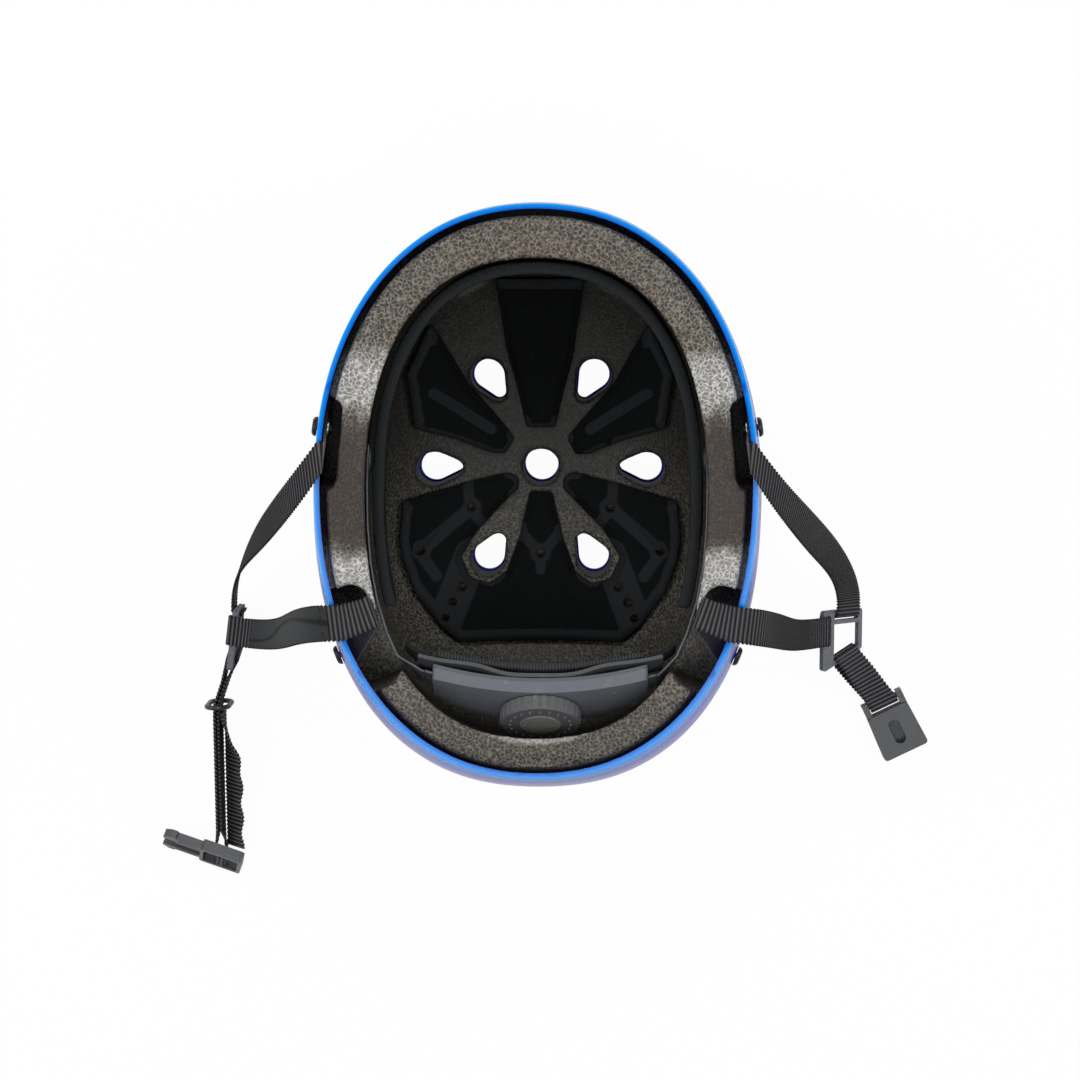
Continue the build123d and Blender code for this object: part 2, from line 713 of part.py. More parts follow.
gear = Circle(pinion_pitch_radius - root_drop)
for index in range(pinion_teeth):
    low, tip = pinion_pitch_radius - root_drop - seat_gap, pinion_tip
    tooth = [(low, -tooth_base_width / 2), (tip, -tooth_tip_width / 2), (tip, tooth_tip_width / 2), (low, tooth_base_width / 2)]
    gear += Rot(0, 0, 90 + 360 * index / pinion_teeth) * make_face(Polyline(*tooth, close=True))
gear_half = wall_rear - 2 * running_gap
hub_depth = 3.0
knob_face = dial_back + dial_thickness
cap_seat = knob_face - cap_thickness * 0.6
screw_seat = dial_back + hub_depth + 1.2
pinion = Rot(90, 0, 0) * Pos(0, 0, -gear_half) * extrude(gear, 2 * gear_half)
pinion += along_dial(shaft_radius, gear_half - seam, dial_back + hub_depth - seam)
pinion += along_dial(pin_radius, -half_housing, seam - gear_half)
pinion -= along_dial(screw_radius, 0, knob_face)
dial_screw = along_dial(screw_radius - running_gap, wall_rear / 2, screw_seat + seam)
dial_screw += along_dial(screw_head_radius + screw_radius, screw_seat + seam, cap_seat - seam)
dial_cap = along_dial(cap_radius - running_gap, cap_seat, cap_seat + cap_thickness)
dial_cap = fillet(dial_cap.edges().filter_by(GeomType.CIRCLE).sort_by(Axis.Y)[:1], cap_thickness / 3)
groove_radius = cap_radius * 0.62
dial_cap -= along_dial(groove_radius + seat_gap, cap_seat + cap_thickness - seat_gap, knob_face + cap_thickness, groove_radius)

ratchet_inner = 11.6
ratchet_outer = 14.6
ratchet_height = 2.2
ratchet_notches = 30
notch_size = 0.7
ratchet = Circle(ratchet_outer) - Circle(ratchet_inner)
for index in range(ratchet_notches):
    notch_shape = Pos(ratchet_inner, 0) * Rot(0, 0, 45) * Rectangle(notch_size, notch_size)
    ratchet -= Rot(0, 0, 360 * index / ratchet_notches) * notch_shape
ring_seat = half_housing + boss_rise
ratchet_ring = Rot(90, 0, 0) * Pos(0, 0, ring_seat) * extrude(ratchet, ratchet_height)

knurl_radius = 1.1
bump_radius = 0.8
bump_circle = 15.5
recess_inner = 9.0
recess_outer = 16.5
pawl_width = 2.4
knob_flat = Circle(dial_radius)
for index in range(dial_knurls):
    knob_flat -= Rot(0, 0, 360 * index / dial_knurls) * Pos(dial_radius + knurl_radius / 2, 0) * Circle(knurl_radius)
dial_knob = Rot(90, 0, 0) * Pos(0, 0, dial_back) * extrude(knob_flat, dial_thickness)
face_round = along_dial(dial_radius, dial_back, knob_face)
face_round = chamfer(face_round.edges().filter_by(GeomType.CIRCLE).sort_by(Axis.Y)[:1], knurl_radius)
dial_knob &= face_round
dial_knob -= along_dial(recess_outer, dial_back - overrun, ring_seat + ratchet_height + seat_gap, recess_inner)
for _, side in sides():
    pawl = Box(ratchet_inner - recess_inner, ratchet_height, pawl_width)
    middle = (ratchet_inner + recess_inner) / 2 - seat_gap
    dial_knob += Pos(side * middle, -dial_back - ratchet_height / 2, 0) * pawl
dial_knob -= along_dial(shaft_radius + seam, 0, dial_back + hub_depth)
dial_knob -= along_dial(screw_radius + seam, 0, knob_face)
dial_knob -= along_dial(screw_head_radius + screw_radius + seam, screw_seat, knob_face)
dial_knob -= along_dial(cap_radius, cap_seat - seam, knob_face + overrun)
for index in range(dial_bumps):
    bump = Rot(0, 360 * index / dial_bumps, 0) * Pos(bump_circle, -knob_face, 0) * Sphere(bump_radius)
    dial_knob += bump

# Yoke and its pad, in front of the housing
arm_reach = 61.5
arm_forward = 16.4
arm_low = 8.0
arm_high = 22.5
arm_shares = [(-1.0, 1.0), (-0.73, 0.79), (-0.49, 0.64), (-0.31, 0.42), (0.0, 0.34), (0.31, 0.42),
              (0.49, 0.64), (0.73, 0.79), (1.0, 1.0)]
cradle_pad_reach = 52.0
cradle_pad_forward = 18.4
cradle_pad_low = -3.0
cradle_pad_high = 21.0
cradle_pad_shares = [(-1.0, 1.0), (-0.58, 0.77), (0.0, 0.62), (0.58, 0.77), (1.0, 1.0)]


def bent_strip(shares, reach, forward, thickness, low, high):
    """Upright strip of even thickness along a curve of plan points."""
    line = Spline(*[(x * reach, y * forward, low) for x, y in shares])
    sample_count = 4 * len(shares)
    near, far = [], []
    for index in range(sample_count + 1):
        point, run = line @ (index / sample_count), line % (index / sample_count)
        normal = Vector(-run.Y, run.X, 0).normalized() * (thickness / 2)
        near.append(point + normal)
        far.append(point - normal)
    first, second = Spline(*near), Spline(*far)
    face = make_face([first, Line(first @ 1, second @ 1), second, Line(second @ 0, first @ 0)])
    return extrude(face, high - low, dir=(0, 0, 1))


cradle_frame = bent_strip(arm_shares, arm_reach, arm_forward, arm_thickness, arm_low, arm_high)
cradle_pad = bent_strip(cradle_pad_shares, cradle_pad_reach, cradle_pad_forward, cradle_pad_thickness,
                        cradle_pad_low, cradle_pad_high)
wing_shares = [(0.89, 1.055), (1.0, 1.146), (1.06, 1.29), (1.10, 1.46)]
wing_thickness = 2.0
wing_low = 12.0
right_wing_pad = bent_strip(wing_shares, arm_reach, arm_forward, wing_thickness, wing_low, arm_high)
left_wing_pad = mirror(right_wing_pad, Plane.YZ)
fit_parts = {"housing_base": housing_base, "housing_cover": housing_cover, "housing_screws": housing_screws,
             "left_rack": left_rack, "right_rack": right_rack, "pinion": pinion, "dial_knob": dial_knob,
             "dial_cap": dial_cap, "dial_screw": dial_screw, "ratchet_ring": ratchet_ring,
             "cradle_frame": cradle_frame, "cradle_pad": cradle_pad, "left_wing_pad": left_wing_pad,
             "right_wing_pad": right_wing_pad}
fit_parts = {name: fit_frame * shape for name, shape in fit_parts.items()}


# Side bands, from an anchor in each side wall to the tail of a rack

band_inset = 1.3
band_half_height = 6.4
band_end_past = 8.0
band_places = [-86.0, -74.0, -58.0, -40.0, -20.0, 0.0]
band_rise_share = 0.1


def anchor(side):
    """Push rivet: a head on the band and a ribbed plug in the foam."""
    head_level = band_inset + (band_thickness + seat_gap) / 2
    shape = Pos(0, 0, -head_level) * extrude(Circle(anchor_radius), anchor_depth + head_level)
    head = Pos(0, 0, -head_level - anchor_head_height) * extrude(Circle(anchor_head_radius), anchor_head_height)
    shape += fillet(head.edges().sort_by(Axis.Z)[:1], anchor_head_height / 2)
    return anchor_frame(side) * shape


def band(side):
    """Flat strip along the side wall that bends in to the rack's tail."""
    rack_tangent = math.asin(rack_reach / fit_arc)
    run = Vector(side * math.cos(rack_tangent), math.sin(rack_tangent), 0)
    level = (rack_tail_low + rack_tail_high) / 2
    layer = side * (layer_gap + rack_thickness / 2)
    radius = fit_arc + layer
    start = Vector(side * (rack_reach + seat_gap), fit_arc - math.sqrt(radius ** 2 - rack_reach ** 2), level)
    stations = []
    for reach in (0, band_thickness):
        point = fit_frame * Pos(*(start + run * reach))
        stations.append((Vector(*point.position), fit_up * band_half_height))
    for y in band_places + [anchor_place, anchor_place + band_end_past]:
        z = anchor_level + max(0.0, anchor_place - y) * band_rise_share
        normal = face_normal(HOLLOW, y, z)
        normal = Vector(side * normal.X, normal.Y, normal.Z)
        up_the_wall = (Vector(0, 0, 1) - normal * normal.Z).normalized() * band_half_height
        stations.append((Vector(side * wall_x(HOLLOW, band_inset, y, z), y, z), up_the_wall))
    hole = Pos(0, 0, -overrun) * extrude(Circle(anchor_radius + running_gap), overrun + anchor_depth)
    return webbing(stations, band_thickness) - anchor_frame(side) * hole


# Hanging harness: straps drape from the rim to the dividers, chin straps lie from there to the buckles

slant_share = 11.0 / 26.0
slant = math.atan(slant_share)
slot_edge = divider_width / 2 - bar_width - slot_width / 2
slot_top = divider_length / 2 - bar_width - slot_width / 2
side_slot_rise = divider_length / 2 - bar_width - slot_length / 2 - seat_gap
top_slot_shift = bar_width + seat_gap
outer_bar = 2.6
chin_bar_x = 2.6
chin_bar_y = slant_share * chin_bar_x - divider_length / 3 - seat_gap / 3 + outer_bar / 2 / math.cos(slant)
bar_offset = slot_width / 2 + bar_width / 2
bar_wrap = 2.85
chin_wrap = 2.95
wrap_steps = 6
drape_steps = 16


def divider():
    """Three-way slide: a slot for each side strap and a slanted bar for the chin strap."""
    half_w, half_l = divider_width / 2, divider_length / 2
    low = -divider_length / 3 - seat_gap / 3
    drop = slant_share * half_w
    face = make_face(Polyline((-half_w, half_l), (half_w, half_l), (half_w, low + drop), (-half_w, low - drop), close=True))
    face = fillet(face.vertices(), divider_corner / 2)
    face -= Pos(top_slot_shift, slot_top) * SlotOverall(slot_length, slot_width)
    face -= Pos(-slot_edge, side_slot_rise) * Rot(0, 0, 90) * SlotOverall(slot_length, slot_width)
    left_x, right_x = -slot_edge + slot_width / 2 + bar_width, half_w - outer_bar
    top_y = slot_top - slot_width / 2 - bar_width
    inner = low + outer_bar / math.cos(slant)
    corners = [(left_x, top_y), (right_x, top_y), (right_x, inner + slant_share * right_x), (left_x, inner + slant_share * left_x)]
    face -= fillet(make_face(Polyline(*corners, close=True)).vertices(), seat_gap)
    return Pos(0, 0, -divider_thickness / 2) * extrude(face, divider_thickness)


right_tilt = math.radians(35.0)
right_divider_place = (165.5, -97.0, 9.6)
left_divider_place = (-169.5, -96.0, 14.2)
left_turn = math.radians(7.0)
right_frame = frame_at(right_divider_place, (math.cos(right_tilt), 0, -math.sin(right_tilt)),
                       (math.sin(right_tilt), 0, math.cos(right_tilt)))
left_frame = frame_at(left_divider_place, (0, 0, -1), (math.cos(left_turn), -math.sin(left_turn), 0))


def turned(frame, x, y, z):
    """A direction given in a frame, in the helmet's."""
    return Vector(*(frame * Pos(x, y, z)).position) - Vector(*frame.position)


def wrap(centre, radius, start, travel, sweep, half, steps=wrap_steps):
    """Stations round a bar, from a start direction towards the travel direction."""
    stations = []
    for index in range(steps + 1):
        angle = math.radians(sweep) * index / steps
        stations.append((centre + start * (radius * math.cos(angle)) + travel * (radius * math.sin(angle)), half))
    return stations


def drape(start, start_half, start_pull, end, end_half, end_pull, shares):
    """Stations along a hanging strap whose width turns from one half vector to the other."""
    stations = []
    for share in shares:
        turn = smooth_step(share)
        half = start_half * (1 - turn) + end_half * turn
        size = start_half.length * (1 - turn) + end_half.length * turn
        stations.append((curve(start, start_pull, end, end_pull, share), half.normalized() * size))
    return stations


def to_slot(frame, slot, out, start, half, sweep):
    """Stations round the outer bar of a divider's slot, starting on one side of the plate."""
    centre = Vector(*(frame * Pos(*(slot + out * bar_offset))).position)
    start_way, travel = turned(frame, *start), turned(frame, *(out * -1))
    if abs(out.dot(start)) > 0.5:
        travel = turned(frame, 0, 0, -1)
    return wrap(centre, bar_wrap, start_way, travel, sweep, turned(frame, *half) * (webbing_width / 2))


top_slot = Vector(top_slot_shift, slot_top, 0)
side_slot = Vector(-slot_edge, side_slot_rise, 0)
along_x, along_y, along_z = Vector(1, 0, 0), Vector(0, 1, 0), Vector(0, 0, 1)
drape_shares = [index / drape_steps for index in range(drape_steps)]


def hanging(side, kind, frame, start_pull, end_reach, shares):
    """Stations of one hanging strap from its fold to its divider, without and with the wrap."""
    hinge = hinge_points(side)[0 if kind == "front" else 1]
    slot, out = (top_slot, along_y) if kind == "front" else (side_slot, along_x * -1)
    half = along_x if kind == "front" else along_y
    begin = along_z
    if side < 0:
        begin = along_z * -1 if kind == "front" else out
    end = to_slot(frame, slot, out, begin, half, 175)
    travel = (end[1][0] - end[0][0]).normalized()
    first = hinge_half(side, half_web if kind == "front" else half_web * rear_skew)
    return drape(hinge, first, Vector(*start_pull), end[0][0], end[0][1], travel * -end_reach, shares), end


right_front_pull = (24.0, -38.0, 8.0)
right_rear_pull = (34.0, -2.0, 6.0)
left_front_pull = (-26.0, -38.0, 8.0)
left_rear_pull = (-34.0, 2.0, 8.0)
front_end_reach = 30.0
rear_end_reach = 40.0
sleeve_start_share = 0.17
sleeve_end_share = 0.9
sleeve_steps = 14
sleeve_profile_shares = [(1.0, 0.4), (0.82, 0.9), (0.5, 1.0), (0.16, 0.8), (0.06, 0.78), (0.04, 1.08), (-0.04, 1.08),
                         (-0.06, 0.78), (-0.16, 0.8), (-0.5, 1.0), (-0.82, 0.9), (-1.0, 0.4), (-1.0, -0.4),
                         (-0.8, -0.9), (0.8, -0.9), (1.0, -0.4)]
lie, wrap_end = hanging(1, "front", right_frame, right_front_pull, front_end_reach, drape_shares)
right_front_strap = webbing(lie + wrap_end, webbing_thickness)
lie, wrap_end = hanging(1, "rear", right_frame, right_rear_pull, rear_end_reach, drape_shares)
right_rear_strap = webbing(lie + wrap_end, webbing_thickness)
lie, wrap_end = hanging(-1, "front", left_frame, left_front_pull, front_end_reach, drape_shares)
left_front_strap = webbing(lie + wrap_end, webbing_thickness)
end_share = sleeve_end_share
first_shares = [0, sleeve_start_share / 3, sleeve_start_share * 2 / 3, sleeve_start_share]
step_share = 0.004
sleeve_shares = [sleeve_start_share + step_share + (end_share - sleeve_start_share - 2 * step_share) * index / sleeve_steps
                 for index in range(sleeve_steps + 1)]
last_shares = [end_share, (end_share + 1) / 2]
upper, _ = hanging(-1, "rear", left_frame, left_rear_pull, rear_end_reach, first_shares)
middle, _ = hanging(-1, "rear", left_frame, left_rear_pull, rear_end_reach, sleeve_shares)
lower, wrap_end = hanging(-1, "rear", left_frame, left_rear_pull, rear_end_reach, last_shares)
left_rear_strap = webbing(upper, webbing_thickness) + webbing(lower + wrap_end, webbing_thickness)
sleeve_profile = [(u * sleeve_width / webbing_width, v * sleeve_thickness / 2) for u, v in sleeve_profile_shares]
left_rear_sleeve = strip(middle, sleeve_profile)

# Right chin strap: a sewn loop from the divider's slanted bar to the socket buckle's bar
female_bar_place = (189.5, -132.2, 4.8)
female_run = unit(0.44, -0.898, 0)
female_width = 24.0
female_flare = 1.2
female_depth = 9.0
female_length = 26.0
female_neck = 5.2
cheek_past = 2.6
socket_width = 18.5
socket_height = 5.6
buckle_bar_radius = 1.5
buckle_corner = 2.0
window_share = 0.42
chin_bar = Vector(chin_bar_x, chin_bar_y, 0)
bar_way = Vector(math.cos(slant), math.sin(slant), 0)
bar_normal = Vector(math.sin(slant), -math.cos(slant), 0)
chin_layer = 1.1


def chin_loop(first, first_way, first_half, last, last_way, last_half, squeeze, mid_shares):
    """Closed ribbon loop round two bars, its two layers drawn together between them."""
    run = (last - first).normalized()
    first_toward = (run - first_way * run.dot(first_way)).normalized()
    last_toward = (run - last_way * run.dot(last_way)).normalized()
    first_side = first_toward.cross(first_way)
    last_side = last_toward.cross(last_way)
    gap = seat_gap / 2

    def layer(sign, shares):
        stations = []
        for share in shares:
            turn = smooth_step(share)
            side_way = (first_side * (1 - turn) + last_side * turn).normalized()
            half = (first_half * (1 - turn) + last_half * turn).normalized() * half_web
            stations.append((first + (last - first) * share + side_way * (sign * squeeze), half))
        return stations

    stations = [(first + first_toward * gap + first_side * chin_wrap, first_half)]
    stations = wrap(first, chin_wrap, first_side, first_toward * -1, 180, first_half)
    stations += layer(-1, mid_shares)
    stations += wrap(last, chin_wrap, last_side * -1, last_toward, 180, last_half)
    stations += layer(1, mid_shares[::-1])
    return stations


def closed_loop(stations):
    """Loop strip, ended just short of where it began."""
    first, last = stations[0][0], stations[-1][0]
    stations = stations + [(first + (last - first).normalized() * (2 * seat_gap), stations[0][1])]
    return webbing(stations, webbing_thickness)


right_chin_start = Vector(*(right_frame * Pos(*chin_bar)).position)
right_chin_way = turned(right_frame, *bar_way)
female_bar = Vector(*female_bar_place)
female_across = female_run.cross(along_z) * -1
right_chin_strap = closed_loop(chin_loop(right_chin_start, right_chin_way, right_chin_way * half_web, female_bar,
                                         female_across, female_across * half_web, chin_wrap, [0.35, 0.65]))
female_frame = frame_at(female_bar_place, female_run, (0, 0, 1))

outline_points = [(female_neck, -female_width / 2), (female_neck + female_length, -female_width / 2 - female_flare),
                  (female_neck + female_length, female_width / 2 + female_flare), (female_neck, female_width / 2)]
female_face = fillet(make_face(Polyline(*outline_points, close=True)).vertices(), buckle_corner)
female = extrude(female_face, female_depth / 2, both=True)
cheeks = Box(female_neck + cheek_past + buckle_corner, female_width, female_depth * 0.72)
cheeks -= Box(2 * female_length, webbing_width + 4 * seat_gap, 2 * female_depth)
female += Pos((female_neck - cheek_past + buckle_corner) / 2, 0, 0) * cheeks
female += Rot(90, 0, 0) * extrude(Circle(buckle_bar_radius), female_width / 2 - buckle_corner / 2, both=True)
socket_length = female_length - buckle_corner
mouth = female_neck + female_length
female -= Pos(mouth - socket_length / 2 + overrun / 2, 0, 0) * Box(socket_length + overrun, socket_width, socket_height)
side_window = female_length * window_share
female -= Pos(mouth - female_length / 2, 0, 0) * Box(side_window, 2 * female_width, socket_height - buckle_corner / 2)
top_window = extrude(SlotOverall(female_length * 0.55, socket_width * 0.34), female_depth)
female -= Pos(mouth - female_length / 2, 0, 0) * top_window
female_buckle = female_frame * female

# Left chin strap with its keeper ring, and the plug buckle
male_bar_place = (-179.7, -221.1)
male_run = unit(-0.943, 0.333, 0)
male_across = unit(0.18, 0.51, 0.85)
male_width = 21.8
male_depth = 6.4
male_half_body = 12.0
male_approach = 6.0
prong_length = 22.0
prong_width = 3.8
prong_depth = 4.6
prong_place = 7.1
barb_out = 1.8
blade_length = 15.0
blade_width = 3.4
blade_depth = 2.4
male_across = (male_across - male_run * male_across.dot(male_run)).normalized()
male_normal = male_run.cross(male_across)
male_lift = male_width / 2 * male_across.Z + male_depth / 2 * abs(male_normal.Z)
male_bar = Vector(*male_bar_place, male_lift)
male_frame = frame_at(male_bar, male_run, male_normal)
left_chin_start = Vector(*(left_frame * Pos(*chin_bar)).position)
left_chin_way = turned(left_frame, *bar_way)
bend_share = 0.27
chin_bend = Vector(-180.3, -134.0, 12.4)
tail_side = 2.9
tail_lean_side = 7.9
tail_lean_share = 0.75
tail_shares = [0.9, 0.84, 0.78, 0.72, 0.66, 0.6, 0.54, 0.47, 0.38, 0.3]
tail_wave = 0.5
upright = along_z * -half_web
left_run = male_bar - left_chin_start
keeper_run = (male_bar - chin_bend).normalized()


def chin_line(share):
    """Middle of the left chin strap, which bends at the keeper ring."""
    if share < bend_share:
        return left_chin_start + (chin_bend - left_chin_start) * (share / bend_share)
    return chin_bend + (male_bar - chin_bend) * ((share - bend_share) / (1 - bend_share))


def left_chin():
    """Layers on edge: the sewn loop with a leaning tail beside it."""
    down_half = left_chin_way * half_web
    male_half = male_across * -half_web
    run = keeper_run
    side_way = run.cross(along_z).normalized()
    first_run = (chin_bend - left_chin_start).normalized()
    first_toward = (first_run - left_chin_way * first_run.dot(left_chin_way)).normalized()
    first_side = first_toward.cross(left_chin_way)
    sense = math.copysign(1, first_side.dot(side_way))
    last_toward = (run - male_across * run.dot(male_across)).normalized()
    last_side = last_toward.cross(male_across)
    last_side = last_side * math.copysign(1, last_side.dot(side_way))
    first_side = first_side * sense
    stations = wrap(left_chin_start, chin_wrap, first_side, first_toward * -1, 180, down_half)
    for share in (0.14, 0.3, 0.5, 0.7, 0.86):
        stations.append((chin_line(share) - side_way * chin_layer, upright))
    near = male_bar - last_toward * male_approach
    stations.append((near - last_side * chin_wrap, male_half))
    stations += wrap(male_bar, chin_wrap, last_side * -1, last_toward, 180, male_half)
    stations.append((near + last_side * chin_wrap, male_half))
    for share in (0.86, 0.7, 0.5, 0.3, 0.14):
        stations.append((chin_line(share) + side_way * chin_layer, upright))
    shape = closed_loop(stations)
    tail = []
    for index, share in enumerate(tail_shares):
        lean = smooth_step((share - 0.4) / 0.2) * smooth_step((0.95 - share) / 0.1)
        half = (along_z * -1 + side_way * (tail_lean_share * lean)).normalized() * half_web
        out = tail_side + (tail_lean_side - tail_side) * lean + tail_wave * lean * math.cos(math.pi * index)
        tail.append((chin_line(share) - side_way * out, half))
    return shape + webbing(tail, webbing_thickness)


left_chin_strap = left_chin()
keeper_tube = 1.4
keeper_tall = 11.5
keeper_wide = 6.0
keeper_shift = 0.9
keeper_side = keeper_run.cross(along_z).normalized()
keeper_centre = Vector(chin_bend.X, chin_bend.Y, keeper_tall + keeper_tube) - keeper_side * keeper_shift
keeper_plane = Plane(origin=keeper_centre, x_dir=keeper_side, z_dir=Vector(keeper_run.X, keeper_run.Y, 0).normalized())
ring_line = keeper_plane * (Rot(0, 0, 90) * SlotOverall(2 * keeper_tall, 2 * keeper_wide)).wires()[0]
keeper_ring = sweep(Plane(origin=ring_line @ 0, z_dir=ring_line % 0) * Circle(keeper_tube), path=ring_line)

male = extrude(RectangleRounded(2 * male_half_body, male_width, buckle_corner), male_depth / 2, both=True)
male -= extrude(RectangleRounded(2 * (male_half_body - buckle_corner), webbing_width + 4 * seat_gap, buckle_bar_radius / 2),
                male_depth, both=True)
male += Rot(90, 0, 0) * extrude(Circle(buckle_bar_radius), webbing_width / 2 + 3 * seat_gap, both=True)
for _, side in sides():
    low, high = side * (prong_place - prong_width / 2), side * (prong_place + prong_width / 2)
    tip = male_half_body + prong_length
    points = [(male_half_body - buckle_corner, low), (tip, low), (tip, high - side * prong_width / 3), (tip - prong_width, high + side * barb_out),
              (tip - prong_width * 1.8, high + side * barb_out), (tip - prong_width * 2, high), (male_half_body - buckle_corner, high)]
    prong = make_face(Polyline(*points, close=True))
    prong -= Pos(male_half_body + prong_length * 0.36, side * prong_place) * SlotOverall(prong_length * 0.55, prong_width / 3)
    male += extrude(prong, prong_depth / 2, both=True)
blade = Box(blade_length + buckle_corner, blade_width, blade_depth)
male += Pos(male_half_body + (blade_length - buckle_corner) / 2, 0, 0) * blade
male_buckle = male_frame * male

harness_parts = {"right_front_strap": right_front_strap, "right_rear_strap": right_rear_strap,
                 "left_front_strap": left_front_strap, "left_rear_strap": left_rear_strap,
                 "left_rear_sleeve": left_rear_sleeve, "right_divider": right_frame * divider(),
                 "left_divider": left_frame * divider(), "right_chin_strap": right_chin_strap,
                 "female_buckle": female_buckle, "left_chin_strap": left_chin_strap, "keeper_ring": keeper_ring,
                 "male_buckle": male_buckle}
for name, side in sides():
    harness_parts[f"{name}_band_anchor"] = anchor(side)
    harness_parts[f"{name}_band"] = band(side)

os.makedirs("parts", exist_ok=True)
export_step(outer_shell, "parts/outer_shell.step")
export_step(eps_liner, "parts/eps_liner.step")
export_step(strap_rivets, "parts/strap_rivets.step")
export_step(strap_washers, "parts/strap_washers.step")
for name, shape in roots.items():
    export_step(shape, f"parts/{name}.step")
for name, shape in pads.items():
    export_step(shape, f"parts/{name}.step")
export_step(hook_fasteners, "parts/hook_fasteners.step")
export_step(sweatband, "parts/sweatband.step")
for name, shape in fit_parts.items():
    export_step(shape, f"parts/{name}.step")
for name, shape in harness_parts.items():
    export_step(shape, f"parts/{name}.step")
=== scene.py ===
import bpy, bmesh, math
from contextlib import contextmanager
from mathutils import Vector, Matrix, kdtree, noise


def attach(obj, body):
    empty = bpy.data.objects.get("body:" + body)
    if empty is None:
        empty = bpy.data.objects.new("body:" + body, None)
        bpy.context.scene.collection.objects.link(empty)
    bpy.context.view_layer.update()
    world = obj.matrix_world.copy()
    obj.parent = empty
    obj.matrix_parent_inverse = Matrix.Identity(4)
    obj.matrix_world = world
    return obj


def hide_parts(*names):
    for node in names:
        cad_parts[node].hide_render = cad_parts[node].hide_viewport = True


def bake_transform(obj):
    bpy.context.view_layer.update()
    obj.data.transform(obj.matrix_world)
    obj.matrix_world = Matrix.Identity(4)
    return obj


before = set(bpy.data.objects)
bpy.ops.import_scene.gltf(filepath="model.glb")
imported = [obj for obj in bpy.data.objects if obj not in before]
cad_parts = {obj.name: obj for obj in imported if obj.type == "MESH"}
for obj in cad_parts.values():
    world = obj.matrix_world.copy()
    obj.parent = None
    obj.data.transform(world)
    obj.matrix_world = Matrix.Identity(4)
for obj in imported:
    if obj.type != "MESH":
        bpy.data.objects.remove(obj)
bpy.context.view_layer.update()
scene = bpy.context.scene

# Camera: almost straight above the upturned helmet and a little towards the brow, as a catalogue picture
# is taken. A short telephoto lens stands 1.3 m over the floor.
camera_place = (0.027163, 0.117285, 1.344209)
focal_length = 81.2
film_width = 36
farthest_seen = 10
lens_back = Vector((0.02094, 0.11840, 0.99275))
lens_right = Vector((0, 1, 0)).cross(lens_back).normalized()
lens_up = lens_back.cross(lens_right)
camera = bpy.data.objects.new("camera", bpy.data.cameras.new("camera"))
camera.data.lens = focal_length
camera.data.sensor_width = film_width
camera.data.clip_end = farthest_seen
turned = Matrix((lens_right, lens_up, lens_back)).transposed().to_4x4()
camera.matrix_world = Matrix.Translation(camera_place) @ turned
scene.collection.objects.link(camera)
scene.camera = camera
scene.view_settings.view_transform = "Standard"

# Floor and light: a white sweep that stays white to the eye, a broad lamp over the brow, a smaller one
# overhead and two strips beside. The strips stand low, so they shine along the foam's rim and leave the
# inside dark.
floor_half = 3
floor_level = -0.0003
sweep_white = (0.9, 0.9, 0.9, 1)
sweep_glow, sweep_gleam = 0.96, 0.1
dim_sky, bright_sky = 0.3, 1.0
lamp_target = Vector((0, 0, 0.08))
lamps = {"brow_lamp": ((0.0, 1.35, 1.7), (1.4, 0.6), 13),
         "overhead_lamp": ((0.0, -0.35, 1.8), (0.9, 0.5), 8),
         "left_strip": ((-1.4, 0.1, 1.0), (0.4, 1.6), 12),
         "right_strip": ((1.4, 0.1, 1.0), (0.4, 1.6), 12)}


class Socket:
    """A node's output, so that maths on it reads as an expression."""

    def __init__(self, paint, socket):
        self.paint, self.socket = paint, socket

    def maths(self, operation, *values):
        return self.paint.node("ShaderNodeMath", {"operation": operation}, *values)

    def __add__(self, other):
        return self.maths("ADD", self, other)

    def __sub__(self, other):
        return self.maths("SUBTRACT", self, other)

    def __rsub__(self, other):
        return self.maths("SUBTRACT", other, self)

    def __mul__(self, other):
        return self.maths("MULTIPLY", self, other)

    __radd__, __rmul__ = __add__, __mul__

    def __abs__(self):
        return self.maths("ABSOLUTE", self)

    def step(self, low, high):
        """0 below low, 1 above high, smooth between."""
        smooth = {"interpolation_type": "SMOOTHSTEP"}
        return self.paint.node("ShaderNodeMapRange", smooth, self, low, high, 0.0, 1.0)

    def sine(self, pitch):
        """Even waves from 0 to 1, one in each pitch."""
        return self.maths("SINE", self * (2 * math.pi / pitch)) * 0.5 + 0.5


